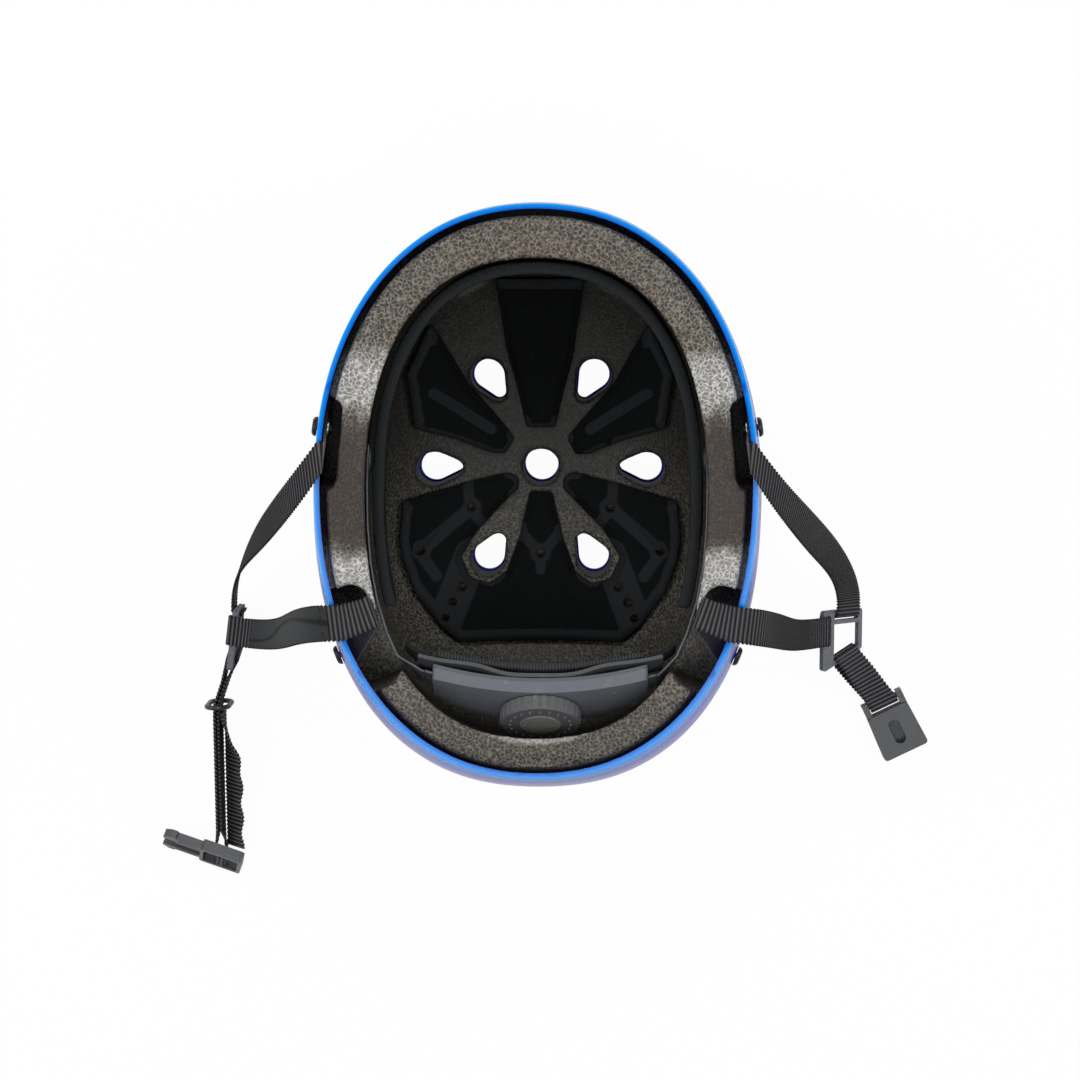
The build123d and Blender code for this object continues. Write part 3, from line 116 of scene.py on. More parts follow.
class Paint:
    """One material. Nodes are added by type, with their settings first and then their sockets' values."""

    def __init__(self, name, **constants):
        self.material = bpy.data.materials.new(name)
        self.material.use_nodes = True
        self.tree = self.material.node_tree
        self.shader = self.tree.nodes["Principled BSDF"]
        for socket, value in constants.items():
            self.shader.inputs[socket.replace("_", " ")].default_value = value

    def join(self, value, target):
        if isinstance(value, Socket):
            self.tree.links.new(value.socket, target)
        else:
            target.default_value = value

    def node(self, kind, settings, *values, output=0, **named):
        made = self.tree.nodes.new(kind)
        for key, value in settings.items():
            setattr(made, key, value)
        for key, value in enumerate(values):
            self.join(value, made.inputs[key])
        for key, value in named.items():
            self.join(value, made.inputs[key])
        return Socket(self, made.outputs[output])

    def place(self, output="Object"):
        return self.node("ShaderNodeTexCoord", {}, output=output)

    def axis(self, name, output="Object"):
        return self.node("ShaderNodeSeparateXYZ", {}, self.place(output), output=name)

    def grain(self, scale, detail=3.0, rough=0.5):
        return self.node("ShaderNodeTexNoise", {}, Vector=self.place(), Scale=scale, Detail=detail,
                         Roughness=rough)

    def wander(self, where, scale, amount):
        """Coordinates pushed about, so that a pattern on them loses its evenness."""
        drift = self.node("ShaderNodeTexNoise", {}, Vector=where, Scale=scale, Detail=2.0, output="Color")
        shift = self.node("ShaderNodeVectorMath", {"operation": "SCALE"}, drift, Scale=amount)
        return self.node("ShaderNodeVectorMath", {"operation": "ADD"}, where, shift)

    def cells(self, where, scale, feature="F1", output=0):
        return self.node("ShaderNodeTexVoronoi", {"feature": feature}, Vector=where, Scale=scale,
                         output=output)

    def mix(self, share, first, second):
        """Mix of two colours, each a colour or a socket."""
        made = self.tree.nodes.new("ShaderNodeMix")
        made.data_type = "RGBA"
        for value, target in ((share, made.inputs[0]), (first, made.inputs[6]), (second, made.inputs[7])):
            self.join((*value, 1.0) if isinstance(value, tuple) else value, target)
        return Socket(self, made.outputs[2])

    def finish(self, colour, roughness=None, coat=None, height=None, depth=0.0001):
        self.join(colour, self.shader.inputs["Base Color"])
        if roughness is not None:
            self.join(roughness, self.shader.inputs["Roughness"])
        if coat is not None:
            self.join(coat, self.shader.inputs["Coat Weight"])
        if height is not None:
            bump = self.node("ShaderNodeBump", {}, Strength=1.0, Distance=depth, Height=height)
            self.join(bump, self.shader.inputs["Normal"])
        return self.material


def dress(piece, material):
    """Gives a piece one material."""
    piece.data.materials.clear()
    piece.data.materials.append(material)
    return piece


floor_shape = bmesh.new()
bmesh.ops.create_grid(floor_shape, x_segments=1, y_segments=1, size=floor_half)
floor = bpy.data.objects.new("floor", bpy.data.meshes.new("floor"))
floor_shape.to_mesh(floor.data)
floor_shape.free()
floor.data.transform(Matrix.Translation((0, 0, floor_level)))
scene.collection.objects.link(floor)
sweep = Paint("studio_floor", Roughness=0.9)
sweep.shader.inputs["Base Color"].default_value = sweep_white
path = sweep.tree.nodes.new("ShaderNodeLightPath")
seen = Socket(sweep, path.outputs["Is Camera Ray"]) * sweep_glow
seen = seen + Socket(sweep, path.outputs["Is Glossy Ray"]) * sweep_gleam
glow = sweep.node("ShaderNodeEmission", {}, (1, 1, 1, 1), 1.0)
lit = sweep.node("ShaderNodeMixShader", {}, seen, Socket(sweep, sweep.shader.outputs[0]), glow)
sweep.join(lit, sweep.tree.nodes["Material Output"].inputs["Surface"])
dress(floor, sweep.material)

world = bpy.data.worlds.new("studio")
scene.world = world
world.use_nodes = True
sky = world.node_tree
sky.nodes["Background"].inputs["Color"].default_value = (1, 1, 1, 1)
ray = sky.nodes.new("ShaderNodeLightPath")
either = sky.nodes.new("ShaderNodeMath")
either.operation = "MAXIMUM"
level = sky.nodes.new("ShaderNodeMapRange")
level.inputs["To Min"].default_value = dim_sky
level.inputs["To Max"].default_value = bright_sky
sky.links.new(ray.outputs["Is Camera Ray"], either.inputs[0])
sky.links.new(ray.outputs["Is Transmission Ray"], either.inputs[1])
sky.links.new(either.outputs[0], level.inputs["Value"])
sky.links.new(level.outputs[0], sky.nodes["Background"].inputs["Strength"])

for name, (where, size, power) in lamps.items():
    lamp = bpy.data.objects.new(name, bpy.data.lights.new(name, "AREA"))
    lamp.data.shape = "RECTANGLE"
    lamp.data.size, lamp.data.size_y = size
    lamp.data.energy = power
    lamp.location = where
    lamp.rotation_euler = (lamp_target - Vector(where)).to_track_quat("-Z", "Y").to_euler()
    scene.collection.objects.link(lamp)

# Outer shell: one injection-moulded shell in blue with its vents, the rim cut square and buffed.
# Its colour goes right through. The cut and the wall just below it are painted brighter blue as a painted
# highlight, brightest along the cut's outer edge, and the cut is painted darkest along its inner edge as
# painted shade.
merge_distance = 2e-6
shell_crease = 35
deep_blue, mid_blue = (0.010, 0.018, 0.32), (0.014, 0.024, 0.38)
rim_shade_inner, rim_highlight_outer = (0.001, 0.075, 0.42), (0.002, 0.290, 0.880)
rim_face_low, rim_face_flat = 0.14, 0.8
wall_highlight_share = 0.7
lit_low, lit_high = 0.144, 0.151
brow_dip, nape_dip = 0.012, 0.004
brow_slope, nape_slope = (0.028, 0.085), (-0.090, -0.040)


@contextmanager
def reshaped(piece):
    """Opens a piece's mesh to bmesh operators and puts it back when they are done."""
    shape = bmesh.new()
    shape.from_mesh(piece.data)
    yield shape
    shape.to_mesh(piece.data)
    shape.free()


def copy_of(node, name):
    """A new piece with a CAD node's mesh, its loose triangles merged."""
    piece = bpy.data.objects.new(name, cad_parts[node].data.copy())
    piece.data.materials.clear()
    scene.collection.objects.link(piece)
    with reshaped(piece) as shape:
        bmesh.ops.remove_doubles(shape, verts=shape.verts, dist=merge_distance)
    return piece


def smooth_by_angle(piece, angle):
    """Smooth shading, with edges sharper than the angle kept."""
    with reshaped(piece) as shape:
        for face in shape.faces:
            face.smooth = True
        for edge in shape.edges:
            if len(edge.link_faces) == 2 and edge.calc_face_angle(0) > math.radians(angle):
                edge.smooth = False
    return piece


def placed(piece, body, nodes):
    """Sets what a piece rides on and hides the CAD nodes that it stands for."""
    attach(piece, body)
    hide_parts(*nodes)
    return piece


gloss = Paint("shell_gloss_blue", Specular_IOR_Level=0.15, Coat_Weight=0.05, Coat_Roughness=0.05)
scuff = gloss.grain(900.0, detail=2.0).step(0.62, 0.75)
blue = gloss.mix(gloss.grain(3.0, detail=1.0), deep_blue, mid_blue)
# Painted highlight on the rim: painted shade at the cut's inner edge, bright blue at its outer edge, most of
# the way to bright on the wall just below.
rim_highlight = gloss.mix(gloss.axis("X", "UV"), rim_shade_inner, rim_highlight_outer)
along = gloss.axis("Y")
under_rim = gloss.axis("Z") + along.step(*brow_slope) * brow_dip + (1 - along.step(*nape_slope)) * nape_dip
blue = gloss.mix(under_rim.step(lit_low, lit_high), blue, rim_highlight)
gloss.finish(blue, roughness=scuff * 0.06 + 0.2, height=gloss.grain(28.0, detail=1.0), depth=0.0002)
shell = smooth_by_angle(copy_of("outer_shell", "shell"), shell_crease)
# UV x holds the painted highlight's share: 1 at the cut's outer edge, 0 at its inner edge, the wall share
# elsewhere.
with reshaped(shell) as shape:
    uv = shape.loops.layers.uv.new("rim")
    for face in shape.faces:
        on_top = face.normal.z > rim_face_flat and face.calc_center_median().z > rim_face_low
        for loop in face.loops:
            sideways = Vector((loop.vert.co.x, loop.vert.co.y, 0)).normalized()
            outer = any(other.normal.dot(sideways) > 0.5 for other in loop.vert.link_faces)
            loop[uv].uv = (float(outer) if on_top else wall_highlight_share, 0.0)
placed(dress(shell, gloss.material), "helmet", ["outer_shell"])

# Foam liner: expanded polystyrene steamed in a mould, grey-brown beads about 2 mm across with pale seams.
# Its rim is painted pale in two stretches on each side, a painted reflection over a glossier coat, and it is
# browner between those places.
# Below the rim the beads are painted darker as painted shade, darkest at the crown, and a pale broken line
# along the rear inner edge of the rim is a painted highlight.
foam_voxel = 0.0017
bead_scale = 470.0
inner_half_width, inner_half_length, inner_middle = 0.0848, 0.119, -0.005
rim_low, rim_high = 0.128, 0.146
stretch_fade = 0.006
side_fade, rear_fade, crown_fade = (0.060, 0.080), (-0.115, -0.085), (-0.05, 0.03)
inside_fade, edge_highlight_fade = (1.05, 1.34), (1.03, 1.09)
painted_reflection_front, painted_reflection_back, brown_stretch = (0.038, 0.066), (-0.072, -0.032), (-0.028, 0.032)
crown_bead_painted_shade, nape_bead_painted_shade, rim_bead = (0.003, 0.003, 0.002), (0.010, 0.009, 0.007), (0.018, 0.015, 0.012)
crown_seam_painted_shade, nape_seam_painted_shade, rim_seam = (0.034, 0.031, 0.024), (0.150, 0.138, 0.112), (0.255, 0.230, 0.186)
foam_skin_depth = 0.0002


def settle(piece):
    """Applies a piece's modifiers to its mesh."""
    bpy.context.view_layer.update()
    done = bpy.data.meshes.new_from_object(piece.evaluated_get(bpy.context.evaluated_depsgraph_get()))
    piece.modifiers.clear()
    piece.data = done
    return piece


def softened(node, name, voxel, rounds, swell=0.0, swell_pitch=0.02):
    """A CAD node's form meshed evenly with its edges rounded over, and softly uneven where swell is given."""
    piece = copy_of(node, name)
    even = piece.modifiers.new("even", "REMESH")
    even.mode = "VOXEL"
    even.voxel_size = voxel
    settle(piece)
    with reshaped(piece) as shape:
        for _ in range(rounds):
            bmesh.ops.smooth_vert(shape, verts=shape.verts, factor=0.5, use_axis_x=True, use_axis_y=True,
                                  use_axis_z=True)
        shape.normal_update()
        if swell:
            moves = [vert.normal * (swell * noise.noise(vert.co / swell_pitch)) for vert in shape.verts]
            for vert, move in zip(shape.verts, moves):
                vert.co += move
        for face in shape.faces:
            face.smooth = True
    return piece


beads = Paint("bead_foam", Coat_Roughness=0.3)
bent = beads.wander(beads.place(), 600.0, 0.0012)
web = 1 - beads.cells(bent, bead_scale, "DISTANCE_TO_EDGE").step(0.0, 0.26)
web = web * (beads.grain(640.0, detail=2.0).step(0.3, 0.7) * 0.85 + 0.15)
width_way, length_way = beads.axis("X"), beads.axis("Y")
ragged_length = length_way + (beads.grain(60.0, detail=4.0) - 0.5) * 0.016


def stretch(low, high):
    """1 on a stretch of the rim between two places along Y, fading at both."""
    begun = ragged_length.step(low - stretch_fade, low + stretch_fade)
    return begun * (1 - ragged_length.step(high - stretch_fade, high + stretch_fade))


from_middle = length_way - inner_middle
outward = width_way * width_way * (1 / inner_half_width ** 2)
outward = outward + from_middle * from_middle * (1 / inner_half_length ** 2)
on_rim = beads.axis("Z").step(rim_low, rim_high)
beside = abs(width_way).step(*side_fade) * on_rim
# Pale patches on the rim's sides are a painted reflection; the coat there is glossier too.
gloss_and_painted_reflection = (stretch(*painted_reflection_front) + stretch(*painted_reflection_back)) * beside
brown = stretch(*brown_stretch) * beside
rear = (1 - ragged_length.step(*rear_fade)) * on_rim
inside = (1 - (outward + (beads.grain(90.0) - 0.5) * 0.2).step(*inside_fade)) * on_rim
# A pale broken line along the rear inner edge of the rim: a painted highlight.
painted_edge_highlight = (1 - outward.step(*edge_highlight_fade)) * rear * beads.grain(45.0, detail=3.0).step(0.40, 0.55)
behind = 1 - length_way.step(*crown_fade)
# Below the rim the crown and nape tones are painted shade, darkest towards the crown.
cell = beads.mix(on_rim, beads.mix(behind, crown_bead_painted_shade, nape_bead_painted_shade), rim_bead)
line = beads.mix(on_rim, beads.mix(behind, crown_seam_painted_shade, nape_seam_painted_shade), rim_seam)
for mask, dark, light in ((inside * 0.7, (0.022, 0.014, 0.009), (0.240, 0.175, 0.122)),
                          (gloss_and_painted_reflection, (0.150, 0.145, 0.133), (0.640, 0.630, 0.605)),
                          (brown, (0.010, 0.006, 0.004), (0.066, 0.045, 0.031)),
                          (rear, (0.016, 0.014, 0.012), (0.180, 0.158, 0.125)),
                          (painted_edge_highlight, (0.200, 0.195, 0.180), (0.520, 0.510, 0.480))):
    cell, line = beads.mix(mask, cell, dark), beads.mix(mask, line, light)
fleck = beads.grain(2300.0, detail=1.0).step(0.60, 0.70) * 0.35
tone = beads.mix(fleck, beads.mix(web, cell, line), line)
glaze = beads.grain(14.0).step(0.4, 0.75) * on_rim
beads.finish(tone, roughness=0.55 - glaze * 0.15, coat=gloss_and_painted_reflection * 0.4 + glaze * 0.1, height=web + fleck,
             depth=foam_skin_depth)
foam = softened("eps_liner", "foam_liner", foam_voxel, 2)
placed(dress(foam, beads.material), "helmet", ["eps_liner"])

# Strap rivets: domed steel heads enamelled black outside the shell, over plain zinc-plated washers behind
# the webbing. The fit unit's hidden screws have the same plating.
enamel_black, chipped_black = (0.006, 0.006, 0.008), (0.045, 0.045, 0.05)
zinc_dark, zinc_light = (0.38, 0.38, 0.39), (0.62, 0.62, 0.63)


def dress_nodes(material, *names):
    """Gives CAD nodes that keep their own mesh one material."""
    for name in names:
        dress(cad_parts[name], material)


enamel = Paint("rivet_black_enamel", Specular_IOR_Level=0.3)
chip = enamel.grain(700.0).step(0.66, 0.72)
enamel.finish(enamel.mix(chip * 0.5, enamel_black, chipped_black), roughness=chip * 0.2 + 0.4,
              height=enamel.grain(420.0), depth=0.0001)
plate = Paint("zinc_plated_steel", Metallic=1.0)
streak = plate.grain(1500.0, detail=4.0)
plate.finish(plate.mix(streak, zinc_dark, zinc_light), roughness=streak * 0.2 + 0.25)
dress_nodes(enamel.material, "strap_rivets")
dress_nodes(plate.material, "strap_washers", "housing_screws", "dial_screw")

# Comfort pads: soft foam laminated with black brushed knit, die-cut and hot-pressed round the edges.
# Hook discs glued into the liner hold them, so they lie close to its wall.
pad_voxel = 0.0010
pad_swell = 0.0004
border_width = 0.003
rib_spacing = 0.0012
heart = Vector((0, -0.005, 0.105))
knit_black, knit_nap = (0.0010, 0.0013, 0.0015), (0.0072, 0.0082, 0.0090)
weld_black, weld_nap = (0.0100, 0.0112, 0.0126), (0.0230, 0.0252, 0.0280)
lint_grey = (0.06, 0.06, 0.065)
hook_grey, hook_black = (0.035, 0.035, 0.037), (0.010, 0.010, 0.011)
facing, slanting = 0.8, 0.55
wall_depth = 0.0032
wall_reach, wall_crowd = 0.004, 16
panel_sink, panel_slope = 0.0007, 0.0012
thin_weld, thick_weld, pressed_panel = 0.0022, 0.0030, 0.0085
along_x, aslant = (1.0, 0.0), (-0.57, 0.82)
rear_welds = (((0.0370, -0.0460), (0.0560, -0.0940), pressed_panel),
              ((0.0375, -0.0210), (0.0640, -0.0425), thick_weld),
              ((0.0375, -0.0210), (0.0390, -0.0080), thin_weld),
              ((0.0375, -0.0210), (0.0300, -0.0310), thin_weld),
              ((0.0640, -0.0425), (0.0550, -0.0560), thin_weld),
              ((0.0, -0.0460), (0.0100, -0.0350), thin_weld),
              ((0.0, -0.0460), (0.0, -0.0540), thin_weld))
side_welds = (((0.0264, 0.0212), (0.0563, 0.0412), thin_weld),)


def smooth_step(value):
    """0 below 0, 1 above 1, smooth between."""
    share = min(1.0, max(0.0, value))
    return share * share * (3 - 2 * share)


def from_line(place, line):
    """Distance on the level of a place from a welded line, less the line's half width."""
    (x0, y0), (x1, y1), half = line
    start, run = Vector((x0, y0)), Vector((x1 - x0, y1 - y0))
    to_place = Vector((abs(place.x), place.y)) - start
    share = min(1.0, max(0.0, to_place.dot(run) / run.length_squared))
    return (to_place - run * share).length - half


def tree_of(verts):
    """A search tree over the places of some vertices."""
    tree = kdtree.KDTree(len(verts))
    for index, vert in enumerate(verts):
        tree.insert(vert.co, index)
    tree.balance()
    return tree


def pressed_inside(pad, across, welds):
    """Sinks a pad's panels between its welded border and welded lines. UV holds the distance from the
    nearest weld and the place across the ribs."""
    with reshaped(pad) as shape:
        shape.normal_update()
        inward = {vert: (heart - vert.co).normalized() for vert in shape.verts}
        front = tree_of([vert for vert in shape.verts if vert.normal.dot(inward[vert]) > facing])
        steep = [vert for vert in shape.verts
                 if abs(vert.normal.dot(inward[vert])) < slanting and front.find(vert.co)[2] < wall_depth]
        beside_steep = tree_of(steep)
        crowded = [vert for vert in steep if len(beside_steep.find_range(vert.co, wall_reach)) > wall_crowd]
        walls = tree_of(crowded)
        distance = {}
        for vert in shape.verts:
            from_welds = [border_width + from_line(vert.co, line) for line in welds]
            distance[vert] = min([walls.find(vert.co)[2]] + from_welds)
        uv = shape.loops.layers.uv.new("ribs")
        for face in shape.faces:
            for loop in face.loops:
                place = loop.vert.co
                loop[uv].uv = (max(0.0, distance[loop.vert]), abs(place.x) * across[0] + place.y * across[1])
        for vert in shape.verts:
            if vert.normal.dot(inward[vert]) > slanting:
                sunk = smooth_step((distance[vert] - border_width) / panel_slope)
                vert.co -= inward[vert] * (panel_sink * sunk)
    return pad


knit = Paint("black_ribbed_knit", Roughness=0.9, Specular_IOR_Level=0.12)
nap = knit.grain(1400.0, detail=4.0, rough=0.65)
rib_line = knit.axis("Y", "UV").sine(rib_spacing)
border = 1 - knit.axis("X", "UV").step(border_width, border_width + panel_slope)
cloth = knit.mix(rib_line * 0.6 + nap * 0.4, knit_black, knit_nap)
cloth = knit.mix(border, cloth, knit.mix(nap, weld_black, weld_nap))
lint = knit.grain(420.0, detail=1.0).step(0.76, 0.80)
knit.finish(knit.mix(lint * 0.3, cloth, lint_grey), height=nap * 0.6 + rib_line * (1 - border), depth=0.0002)
for node, name, across, welds in (("pad_front_centre", "front_centre_pad", along_x, ()),
                                  ("pad_front_left", "front_left_pad", aslant, side_welds),
                                  ("pad_front_right", "front_right_pad", aslant, side_welds),
                                  ("pad_rear", "rear_pad", aslant, rear_welds)):
    pad = pressed_inside(softened(node, name, pad_voxel, 3, swell=pad_swell), across, welds)
    placed(dress(pad, knit.material), "helmet", [node])
hooks = Paint("hook_fastener", Roughness=0.8, Specular_IOR_Level=0.2)
loops = hooks.cells(hooks.place(), 900.0)
hooks.finish(hooks.mix(loops.step(0.1, 0.5), hook_grey, hook_black), height=loops, depth=0.0003)
dress_nodes(hooks.material, "hook_fasteners")

# Sweatband: a roll of the same knit over thin foam round the brow and the sides, its ribs upright.
# Its top edge is painted a little lighter, a painted highlight.
band_voxel = 0.0011
band_swell = 0.0005
band_radius = 0.1
upright_spacing = 0.0014
highlight_low, highlight_high = 0.1268, 0.1290
towel_black, towel_grey, top_highlight_grey = (0.0045, 0.0055, 0.0062), (0.0185, 0.0215, 0.0235), (0.026, 0.030, 0.033)
roll = Paint("sweatband_knit", Roughness=0.9, Specular_IOR_Level=0.15)
weave = roll.grain(1500.0, rough=0.6)
upright = roll.axis("Y", "UV").sine(upright_spacing)
towel = roll.mix(upright * 0.6 + weave * 0.4, towel_black, towel_grey)
# Painted highlight: the band's top edge is mixed halfway towards a lighter grey.
towel = roll.mix(roll.axis("Z").step(highlight_low, highlight_high) * 0.5, towel, top_highlight_grey)
roll.finish(towel, height=weave * 0.6 + upright + roll.grain(90.0) * 0.7, depth=0.0003)
sweatband = softened("sweatband", "sweatband_roll", band_voxel, 4, swell=band_swell)
with reshaped(sweatband) as shape:
    uv = shape.loops.layers.uv.new("ribs")
    for face in shape.faces:
        turns = [math.atan2(loop.vert.co.y, loop.vert.co.x) % (2 * math.pi) for loop in face.loops]
        wrapped = max(turns) - min(turns) > math.pi
        for loop, turn in zip(face.loops, turns):
            if wrapped and turn < math.pi:
                turn += 2 * math.pi
            loop[uv].uv = (loop.vert.co.z, band_radius * turn)
placed(dress(sweatband, roll.material), "helmet", ["sweatband"])

# Side straps: 16 mm ribbed polyester webbing, a rib every 2.25 mm, so that both edges are finely toothed.
# Each is riveted inside the shell, folded over the rim and looped round a bar of its side's divider.
half_web = 0.008
web_thickness = 0.0012
rib_pitch, warp_pitch = 0.00225, 0.0008
rib_rise = 0.00014
edge_inset, edge_tooth = 0.00016, 0.00026
web_columns, rows_per_rib = 8, 6
furrow_black, rib_grey, warp_grey = (0.0030, 0.0024, 0.0032), (0.098, 0.092, 0.102), (0.030, 0.028, 0.031)
fold_level = 0.1576
front_fold, rear_fold = Vector((0.1064, 0.016, fold_level)), Vector((0.0968, -0.066, fold_level))
front_root_places = ((0.1062, 0.0335, 0.116), (0.1063, 0.029, 0.126), (0.1061, 0.0248, 0.136),
                     (0.1054, 0.0204, 0.146), (0.1046, 0.0162, 0.1555))
rear_root_places = ((0.0983, -0.0870, 0.1086), (0.0965, -0.0863, 0.1229))
crease_radius, crease_inset, crease_lip = 0.003, 0.014, 0.0005
crease_steps, crease_degrees = 6, 90
front_root_half, rear_fold_half = (-0.0011, 0.0079), (0.00105, 0.009)
rear_rivet_half, rear_crease_half = (0.0029, 0.0074), (0.00265, 0.00755)
rear_out, fold_way = (0.9436, -0.331), (0.1156, 0.9933)
fold_rise = 0.3
swing_start, swing_end = 0.0001, 0.0032
drape_steps = 60
bar_loop, bar_degrees = 0.00285, 175
divider_bars = {
    ("right", "front"): ((0.1675, -0.0811, 0.0082), (0.5736, 0, 0.8192), (0, -1, 0), (0.0066, 0, -0.0046)),
    ("right", "rear"): ((0.1549, -0.0912, 0.0170), (0.5736, 0, 0.8192), (0.819, 0, -0.574), (0, 0.008, 0)),
    ("left", "front"): ((-0.1676, -0.0802, 0.0117), (-0.9925, 0.1219, 0), (-0.122, -0.9925, 0),
                        (0, 0, -0.008)),
    ("left", "rear"): ((-0.1688, -0.0902, 0.0271), (0, 0, 1), (-0.9925, 0.1219, 0), (0.001, 0.0079, 0))}
reaches = {"front": 0.030, "rear": 0.040}
widenings = {"front": 1.0, "rear": 1.13}
pulls = {("right", "front"): (0.024, -0.038, 0.008), ("right", "rear"): (0.034, -0.002, 0.006),
         ("left", "front"): (-0.026, -0.038, 0.008), ("left", "rear"): (-0.034, 0.002, 0.008)}


def even_shares(first, run, steps):
    """Evenly spaced shares of a length, both ends included."""
    return [first + run * index / steps for index in range(steps + 1)]


def bent_grid(stations, columns, row_pitch, shape_at):
    """A fine grid laid along stations of centre and half-width vector. shape_at gives, for a share across, a
    distance along and the whole length, how far a point lies along the half-width and along the normal."""
    points = [Vector(point) for point, _ in stations]
    halves = [Vector(half) for _, half in stations]
    reach = [0.0]
    for before, after in zip(points, points[1:]):
        reach.append(reach[-1] + (after - before).length)
    total = reach[-1]
    shape = bmesh.new()
    uv = shape.loops.layers.uv.new("webbing")
    rows = max(8, round(total / row_pitch))
    bmesh.ops.create_grid(shape, x_segments=columns, y_segments=rows, size=1.0)

    def along(distance, table):
        """A station's value at a distance along the route."""
        index = max(0, min(len(reach) - 2, sum(1 for value in reach[1:-1] if value <= distance)))
        share = (distance - reach[index]) / (reach[index + 1] - reach[index])
        return table[index].lerp(table[index + 1], share)

    lines = {}
    for vert in shape.verts:
        lines.setdefault(round(vert.co.y, 5), []).append(vert)
    flat = {}
    for height, verts in lines.items():
        distance = total * min(1.0, max(0.0, (height + 1) / 2))
        centre, half = along(distance, points), along(distance, halves)
        ahead = along(min(total, distance + row_pitch), points)
        travel = ahead - along(max(0.0, distance - row_pitch), points)
        normal = half.cross(travel).normalized()
        for vert in verts:
            flat[vert] = (vert.co.x, distance)
            sideways, lift = shape_at(vert.co.x, distance, total)
            vert.co = centre + half * (sideways / half_web) + normal * lift
    for face in shape.faces:
        face.smooth = True
        for loop in face.loops:
            side, distance = flat[loop.vert]
            loop[uv].uv = (side * half_web, distance)
    return shape


def as_piece(shape, name):
    """A mesh's own object."""
    piece = bpy.data.objects.new(name, bpy.data.meshes.new(name))
    shape.to_mesh(piece.data)
    shape.free()
    scene.collection.objects.link(piece)
    return piece


def woven(side, distance, total):
    """The webbing's face is flat, and each rib stands out a little at both edges."""
    return side * (half_web - edge_inset + edge_tooth * math.cos(2 * math.pi * distance / rib_pitch)), 0.0


def webbing(stations, name):
    """A length of ribbed webbing: each rib stands proud of both faces and of both edges."""
    piece = as_piece(bent_grid(stations, web_columns, rib_pitch / rows_per_rib, woven), name)
    wall = piece.modifiers.new("thickness", "SOLIDIFY")
    wall.thickness = web_thickness
    wall.offset = 0
    settle(piece)
    with reshaped(piece) as shape:
        uv = shape.loops.layers.uv.active
        shape.normal_update()
        proud = {}
        for face in shape.faces:
            for loop in face.loops:
                proud[loop.vert] = rib_rise * math.cos(2 * math.pi * loop[uv].uv.y / rib_pitch)
        for vert, height in proud.items():
            vert.co += vert.normal * height
    return dress(piece, ribbed.material)


def round_bar(bar, begin, travel, radius, sweep_degrees, half, steps=12):
    """Stations round a bar, from a start direction towards the travel direction."""
    bar, begin, travel, half = Vector(bar), Vector(begin).normalized(), Vector(travel), Vector(half)
    travel = (travel - begin * travel.dot(begin)).normalized()
    turns = [math.radians(sweep_degrees) * index / steps for index in range(steps + 1)]
    return [(bar + begin * (radius * math.cos(turn)) + travel * (radius * math.sin(turn)), half)
            for turn in turns]


def hang(fold, pull, reach, fold_half, loop, shares):
    """Stations of a strap hanging between its fold and the loop round its bar. Its width turns on the way."""
    fold, pull, fold_half = Vector(fold), Vector(pull), Vector(fold_half)
    end, end_half = loop[0]
    end_pull = (loop[1][0] - loop[0][0]).normalized() * -reach
    stations = []
    for share in shares:
        rest = 1 - share
        point = (fold * rest ** 3 + (fold + pull) * (3 * rest ** 2 * share)
                 + (end + end_pull) * (3 * rest * share ** 2) + end * share ** 3)
        turn = smooth_step(share)
        half = fold_half.lerp(end_half, turn).normalized()
        stations.append((point, half * (fold_half.length * (1 - turn) + end_half.length * turn)))
    return stations


def on_side(side, way):
    """A level direction that is given for the helmet's right side, on either side."""
    return Vector((side * way[0], way[1], 0))


def front_root(side):
    """Webbing from its rivet straight up the gap beside the liner."""
    half = on_side(side, front_root_half)
    return [(Vector((side * x, y, z)), half) for x, y, z in front_root_places]


def rear_root(side):
    """Webbing from its rivet up a pocket in the liner, creased outwards over the foam."""
    out = on_side(side, rear_out)
    rivet_half, half = on_side(side, rear_rivet_half), on_side(side, rear_crease_half)
    fold = Vector((side * rear_fold.x, rear_fold.y, rear_fold.z))
    crease = fold - out * crease_inset - Vector((0, 0, crease_radius))
    stations = [(Vector((side * x, y, z)), rivet_half) for x, y, z in rear_root_places]
    for share in even_shares(0, 1, crease_steps):
        turn = math.radians(crease_degrees * share)
        risen = Vector((0, 0, crease_radius * math.sin(turn)))
        stations.append((crease - out * (crease_radius * math.cos(turn)) + risen, half))
    return stations + [(fold - out * crease_lip, on_side(side, rear_fold_half))]


divider_loops = {key: round_bar(middle, begin, travel, bar_loop, bar_degrees, half)
                 for key, (middle, begin, travel, half) in divider_bars.items()}


def side_strap(name, side, kind, shares):
    """Stations of the hanging part of a side strap at the given shares of its length."""
    fold = (front_fold if kind == "front" else rear_fold).copy()
    fold.x *= side
    fold_half = on_side(side, fold_way) * (half_web * widenings[kind])
    return hang(fold, pulls[name, kind], reaches[kind], fold_half, divider_loops[name, kind], shares)


ribbed = Paint("ribbed_webbing", Roughness=0.7, Specular_IOR_Level=0.3)
rib = ribbed.axis("Y", "UV").sine(rib_pitch)
warp = ribbed.axis("X", "UV").sine(warp_pitch)
fuzz = ribbed.grain(1600.0)
yarn = ribbed.mix(rib.step(0.25, 1.0) * (fuzz * 0.5 + 0.7), furrow_black, rib_grey)
yarn = ribbed.mix(warp * 0.15, yarn, warp_grey)
ribbed.finish(yarn, height=rib * 1.5 + warp * 0.3 + fuzz * 0.2, depth=0.0003)
for name, side in (("right", 1), ("left", -1)):
    away = Vector((side * fold_way[1], -fold_way[0], fold_rise)).normalized()
    for kind, root in (("front", front_root(side)), ("rear", rear_root(side))):
        lie = side_strap(name, side, kind, even_shares(0, 1, drape_steps)[:-1])
        strap = webbing(root + lie + divider_loops[name, kind], f"{name}_{kind}_webbing")
        top = lie[0][0]
        top + away * swing_start
        top + away * swing_end
        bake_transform(strap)
        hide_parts(f"{name}_{kind}_strap_root", f"{name}_{kind}_strap")

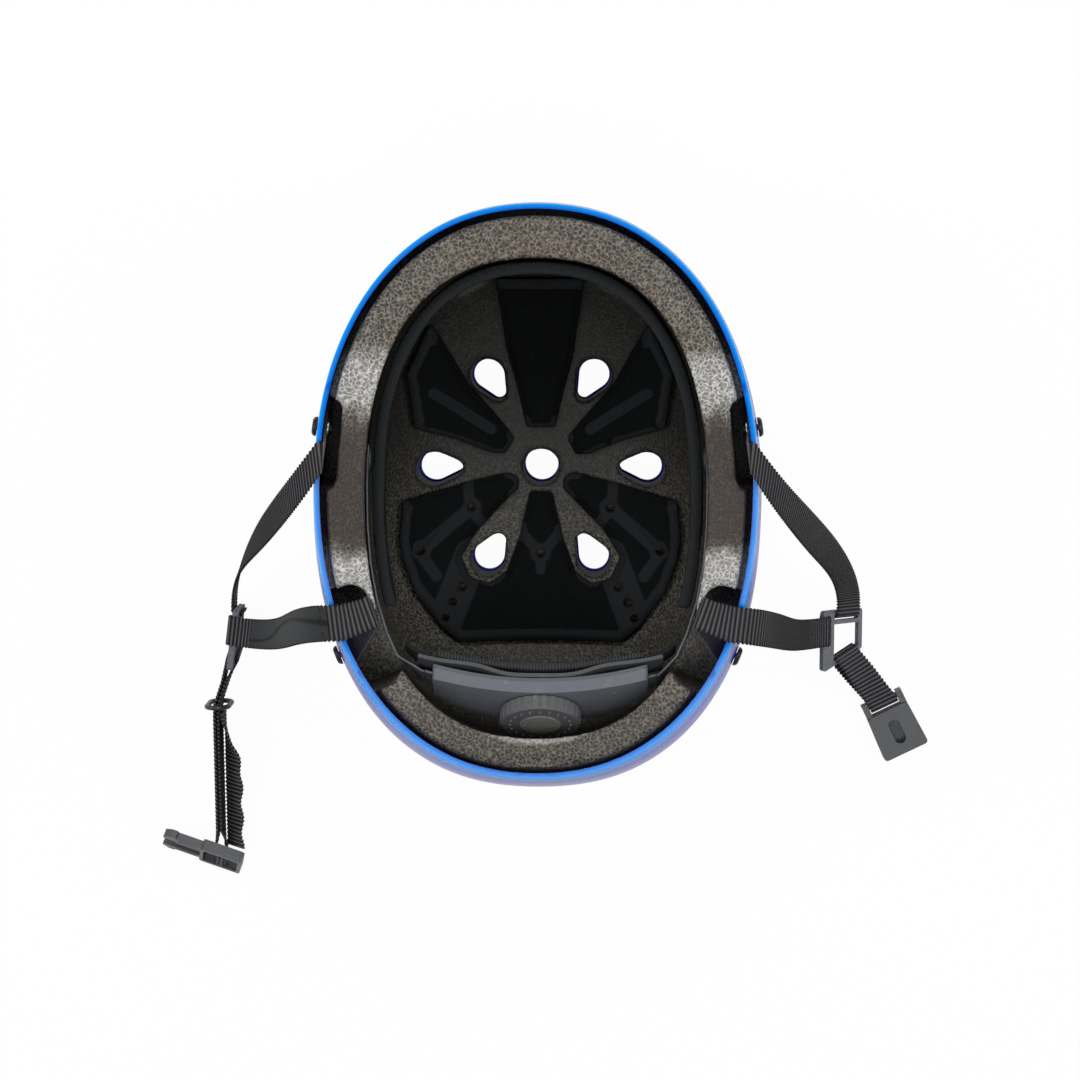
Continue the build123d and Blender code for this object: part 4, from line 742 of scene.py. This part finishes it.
# Strap sleeve: a soft knit tube with a thin foam core over the left rear strap, closed by a seam that
# wanders along its middle. Both ends are pinched flat and stitched across to the webbing.
sleeve_start, sleeve_run, sleeve_steps = 0.06, 0.84, 60
sleeve_columns, sleeve_row, tube_merge = 48, 0.0007, 1e-5
half_flat, half_swollen = 0.00735, 0.0004
half_tall, tall_swollen = 0.00115, 0.0012
flat_power, tall_power = 0.62, 0.75
pinch_run = 0.005
seam_wave, seam_sway = 0.19, 0.10
seam_depth, seam_share = 0.0007, 0.03
ripple_pitch, ripple_rise = 0.011, 0.00022
stitch_inset, stitch_pitch, course_pitch = 0.0028, 0.0017, 0.0009
sleeve_black, sleeve_grey = (0.007, 0.008, 0.009), (0.026, 0.030, 0.032)
seam_black, stitch_black = (0.0010, 0.0010, 0.0010), (0.004, 0.004, 0.004)


def sleeve_section(side, distance, total):
    """Half-round tube with a wandering seam sunk in its top and pinched, stitched ends."""
    turn = math.pi * side
    ends = smooth_step(min(distance, total - distance) / pinch_run)
    flat = math.copysign(abs(math.sin(turn)) ** flat_power, math.sin(turn))
    tall = math.copysign(abs(math.cos(turn)) ** tall_power, math.cos(turn))
    seam = side - seam_sway * math.sin(2 * math.pi * distance / seam_wave)
    groove = math.exp(-(seam / seam_share) ** 2) * seam_depth
    ripple = ripple_rise * math.sin(2 * math.pi * distance / ripple_pitch) * abs(math.sin(turn))
    return (flat * (half_flat + half_swollen * ends + ripple),
            tall * (half_tall + tall_swollen * ends) - groove * ends)


sleeve_route = side_strap("left", -1, "rear", even_shares(sleeve_start, sleeve_run, sleeve_steps))
steps = zip(sleeve_route, sleeve_route[1:])
half_sleeve = sum((after[0] - before[0]).length for before, after in steps) / 2
stocking = Paint("sleeve_knit", Roughness=0.75, Specular_IOR_Level=0.35)
across_sleeve, along_sleeve = stocking.axis("X", "UV"), stocking.axis("Y", "UV")
course = along_sleeve.sine(course_pitch)
pile = stocking.grain(1300.0, rough=0.6)
seam_line = (along_sleeve.sine(seam_wave) - 0.5) * (2 * seam_sway * half_web)
near_seam = 1 - abs(across_sleeve - seam_line).step(0.00008, 0.00030)
to_end = half_sleeve - abs(along_sleeve - half_sleeve)
end_stitch = 1 - abs(to_end - stitch_inset).step(0.0002, 0.0005)
end_stitch = end_stitch * across_sleeve.sine(stitch_pitch).step(0.3, 0.5)
tube_colour = stocking.mix(pile * 0.7 + course * 0.3, sleeve_black, sleeve_grey)
tube_colour = stocking.mix(near_seam, tube_colour, seam_black)
tube_colour = stocking.mix(end_stitch, tube_colour, stitch_black)
stocking.finish(tube_colour, height=pile + course * 0.6 - near_seam * 2.0 - end_stitch, depth=0.0002)
tube = bent_grid(sleeve_route, sleeve_columns, sleeve_row, sleeve_section)
bmesh.ops.remove_doubles(tube, verts=tube.verts, dist=tube_merge)
bmesh.ops.holes_fill(tube, edges=[edge for edge in tube.edges if edge.is_boundary], sides=0)
bmesh.ops.recalc_face_normals(tube, faces=tube.faces)
sleeve = dress(as_piece(tube, "strap_sleeve"), stocking.material)
placed(sleeve, "left_harness", ["left_rear_sleeve"])

# Dividers: three-way slides of dark grey nylon, from a mould spark-eroded to a fine texture with small
# round pips. All three straps of a side are looped round their bars.
divider_dark, divider_light = (0.075, 0.082, 0.095), (0.125, 0.133, 0.150)


def moulded(name, low, high, roughness, grain_scale=2600.0, depth=0.00006, pips=0.0):
    """Moulded plastic: a fine even texture, small colour drift and a few rubbed spots."""
    paint = Paint(name)
    texture = paint.grain(grain_scale, detail=2.0)
    colour = paint.mix(texture * 0.6 + paint.grain(40.0) * 0.4, low, high)
    rubbed = paint.grain(160.0, detail=4.0).step(0.62, 0.8)
    colour = paint.mix(rubbed * 0.2, colour, tuple(2.2 * value for value in high))
    relief = texture
    if pips:
        relief = relief + (1 - paint.cells(paint.place(), pips).step(0.12, 0.3)) * 2.0
    paint.finish(colour, roughness=texture * 0.12 + roughness, height=relief, depth=depth)
    return paint.material


dress_nodes(moulded("divider_nylon", divider_dark, divider_light, 0.45, pips=420.0, depth=0.00010),
            "left_divider", "right_divider")

# Chin straps: the same webbing, sewn into loops round the dividers' slanted bars and the buckles' bars.
# The left one lies on edge in two layers inside the keeper ring, with its loose end leaning beside them.
chin_loop = 0.00295
half_gap = 0.0011
bar_run = 0.006
bend_share = 0.27
mid_start, mid_run, mid_steps = 0.14, 0.72, 12
right_mid_start, right_mid_run, right_mid_steps = 0.25, 0.5, 8
tail_top, tail_run, tail_steps = 0.95, 0.65, 48
tail_end, tail_rise = 0.3, 0.3
tail_gap = 0.0029
tail_lean, tail_wave, tail_waves = 0.8, 0.12, 9
upward = Vector((0, 0, 1))
chin_start, chin_way = Vector((-0.1706, -0.1049, 0.0116)), Vector((0.0475, 0.3867, -0.921))
chin_bend, plug_bar = Vector((-0.1803, -0.1340, 0.0124)), Vector((-0.1797, -0.2211, 0.0109))
plug_across = Vector((0.1787, 0.5062, 0.8437))
chin_run = (plug_bar - chin_bend).normalized()
chin_side = chin_run.cross(upward).normalized()
right_start, right_way = Vector((0.1676, -0.1059, 0.0081)), Vector((0.7544, 0.3896, -0.5282))
socket_bar, socket_across = Vector((0.1895, -0.1322, 0.0048)), Vector((0.898, 0.44, 0))


def on_chin(share):
    """Middle of the left chin strap, which bends at the keeper ring."""
    if share < bend_share:
        return chin_start.lerp(chin_bend, share / bend_share)
    return chin_bend.lerp(plug_bar, (share - bend_share) / (1 - bend_share))


def square_to(run, bar_way):
    """The part of a run that stands square to a bar."""
    return (run - bar_way * run.dot(bar_way)).normalized()


def like_chin_side(way):
    """A direction turned to the strap's own side."""
    return -way if way.dot(chin_side) < 0 else way


first_toward = square_to((chin_bend - chin_start).normalized(), chin_way)
first_side = like_chin_side(first_toward.cross(chin_way))
last_toward = square_to(chin_run, plug_across)
last_side = like_chin_side(last_toward.cross(plug_across))
edge_on, first_half, last_half = upward * -half_web, chin_way * half_web, plug_across * -half_web
before_plug = plug_bar - last_toward * bar_run
mid_shares = even_shares(mid_start, mid_run, mid_steps)
stations = round_bar(chin_start, first_side, -first_toward, chin_loop, 180, first_half)
stations += [(on_chin(share) - chin_side * half_gap, edge_on) for share in mid_shares]
stations.append((before_plug - last_side * chin_loop, last_half))
stations += round_bar(plug_bar, -last_side, last_toward, chin_loop, 180, last_half)
stations.append((before_plug + last_side * chin_loop, last_half))
stations += [(on_chin(share) + chin_side * half_gap, edge_on) for share in mid_shares[::-1]]
left_chin = webbing(stations + stations[:1], "left_chin_webbing")
placed(left_chin, "left_chin", ["left_chin_strap"])
tail = []
for index, share in enumerate(even_shares(tail_top, -tail_run, tail_steps)):
    lean = smooth_step((share - tail_end) / tail_rise) * tail_lean
    flutter = lean * tail_wave * math.cos(math.pi * index * tail_waves / tail_steps)
    half = (chin_side * (lean + flutter) - upward).normalized() * half_web
    tail.append((on_chin(share) - chin_side * (tail_gap + abs(half.dot(chin_side))), half))
placed(webbing(tail, "left_chin_tail"), "left_chin", ["left_chin_strap"])

right_run = (socket_bar - right_start).normalized()
toward_first, toward_last = square_to(right_run, right_way), square_to(right_run, socket_across)
side_first, side_last = toward_first.cross(right_way), toward_last.cross(socket_across)


def right_layer(sign, shares):
    """One layer of the right chin strap, turning from the divider's bar to the buckle's."""
    layer = []
    for share in shares:
        turn = smooth_step(share)
        side = side_first.lerp(side_last, turn).normalized()
        half = right_way.lerp(socket_across, turn).normalized() * half_web
        layer.append((right_start.lerp(socket_bar, share) + side * (sign * chin_loop), half))
    return layer


between = even_shares(right_mid_start, right_mid_run, right_mid_steps)
stations = round_bar(right_start, side_first, -toward_first, chin_loop, 180, right_way * half_web)
stations += right_layer(-1, between)
stations += round_bar(socket_bar, -side_last, toward_last, chin_loop, 180, socket_across * half_web)
stations += right_layer(1, between[::-1])
right_chin = webbing(stations + stations[:1], "right_chin_webbing")
placed(right_chin, "right_chin", ["right_chin_strap"])

# Keeper ring and side-release buckle: black nylon straight from the mould, the ring polished and the two
# buckle halves finely textured.
keeper_dark, keeper_light = (0.012, 0.013, 0.015), (0.026, 0.028, 0.031)
buckle_dark, buckle_light = (0.040, 0.042, 0.046), (0.072, 0.075, 0.080)
dress_nodes(moulded("keeper_nylon", keeper_dark, keeper_light, 0.25, depth=0.00002), "keeper_ring")
buckle_black = moulded("buckle_nylon", buckle_dark, buckle_light, 0.34)
dress_nodes(buckle_black, "male_buckle", "female_buckle")

# Fit unit: a textured black housing with a grey cover, two curved racks drawn together by the dial's
# pinion, and a knurled dial with a polished cap. All of it is moulded nylon.
housing_nylon = moulded("housing_nylon", (0.060, 0.065, 0.075), (0.110, 0.118, 0.132), 0.45, depth=0.0001)
cover_nylon = moulded("cover_nylon", (0.085, 0.094, 0.110), (0.160, 0.172, 0.195), 0.42,
                      grain_scale=1800.0, depth=0.00018)
dial_nylon = moulded("dial_nylon", (0.065, 0.066, 0.070), (0.120, 0.122, 0.128), 0.42, depth=0.00012)
cap_nylon = moulded("cap_nylon", (0.130, 0.130, 0.122), (0.190, 0.190, 0.180), 0.35, depth=0.00001)
strip_grey = moulded("strip_nylon", (0.060, 0.066, 0.074), (0.105, 0.113, 0.124), 0.36)
dress_nodes(housing_nylon, "housing_base")
dress_nodes(cover_nylon, "housing_cover")
dress_nodes(dial_nylon, "dial_knob")
dress_nodes(cap_nylon, "dial_cap")
dress_nodes(buckle_black, "ratchet_ring", "pinion", "cradle_frame", "left_band_anchor", "right_band_anchor")
dress_nodes(strip_grey, "left_rack", "right_rack")

# Side bands: thin flexible grey strips from a push rivet in each wall of the liner to the racks' tails.
strip_voxel = 0.0005
strip_root, strip_tip = (0.0858, 0.0, 0.121), (0.062, -0.097, 0.131)
for name, side in (("left", -1), ("right", 1)):
    band = dress(softened(f"{name}_band", f"{name}_side_band", strip_voxel, 2), strip_grey)
    root, end = ((side * x, y, z) for x, y, z in (strip_root, strip_tip))
    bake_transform(band)
    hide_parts(f"{name}_band")

# Cradle pad and felt tips: ribbed knit over thin foam along the fit unit's top, and soft felt where it
# meets the head. Both are glued to the yoke.
cushion_voxel, cushion_swell, cushion_fill = 0.0008, 0.0004, 0.8
tip_voxel, tip_swell, tip_swell_pitch, tip_fill = 0.0004, 0.00015, 0.006, 0.7
wale_pitch = 0.0016
wale_black, wale_grey = (0.008, 0.009, 0.010), (0.058, 0.062, 0.066)
felt_dark, felt_light = (0.006, 0.006, 0.007), (0.030, 0.030, 0.033)
ribs = Paint("cradle_ribbed_knit", Roughness=0.9, Specular_IOR_Level=0.2)
wale = ribs.axis("X").sine(wale_pitch)
pile = ribs.grain(1400.0, rough=0.6)
ribs.finish(ribs.mix(pile * 0.4 + wale * 0.6, wale_black, wale_grey), height=wale + pile * 0.5, depth=0.0003)
cradle_pad = softened("cradle_pad", "cradle_cushion", cushion_voxel, 4, swell=cushion_swell)
placed(dress(cradle_pad, ribs.material), "cradle", ["cradle_pad"])
felt = Paint("black_felt", Roughness=0.95, Specular_IOR_Level=0.1)
fibre = felt.grain(1900.0, detail=5.0, rough=0.75)
felt.finish(felt.mix(fibre, felt_dark, felt_light), height=fibre, depth=0.0003)
for name in ("left_wing_pad", "right_wing_pad"):
    tip = softened(name, name.replace("wing_pad", "felt_tip"), tip_voxel, 3, swell=tip_swell,
                   swell_pitch=tip_swell_pitch)
    placed(dress(tip, felt.material), "cradle", [name])
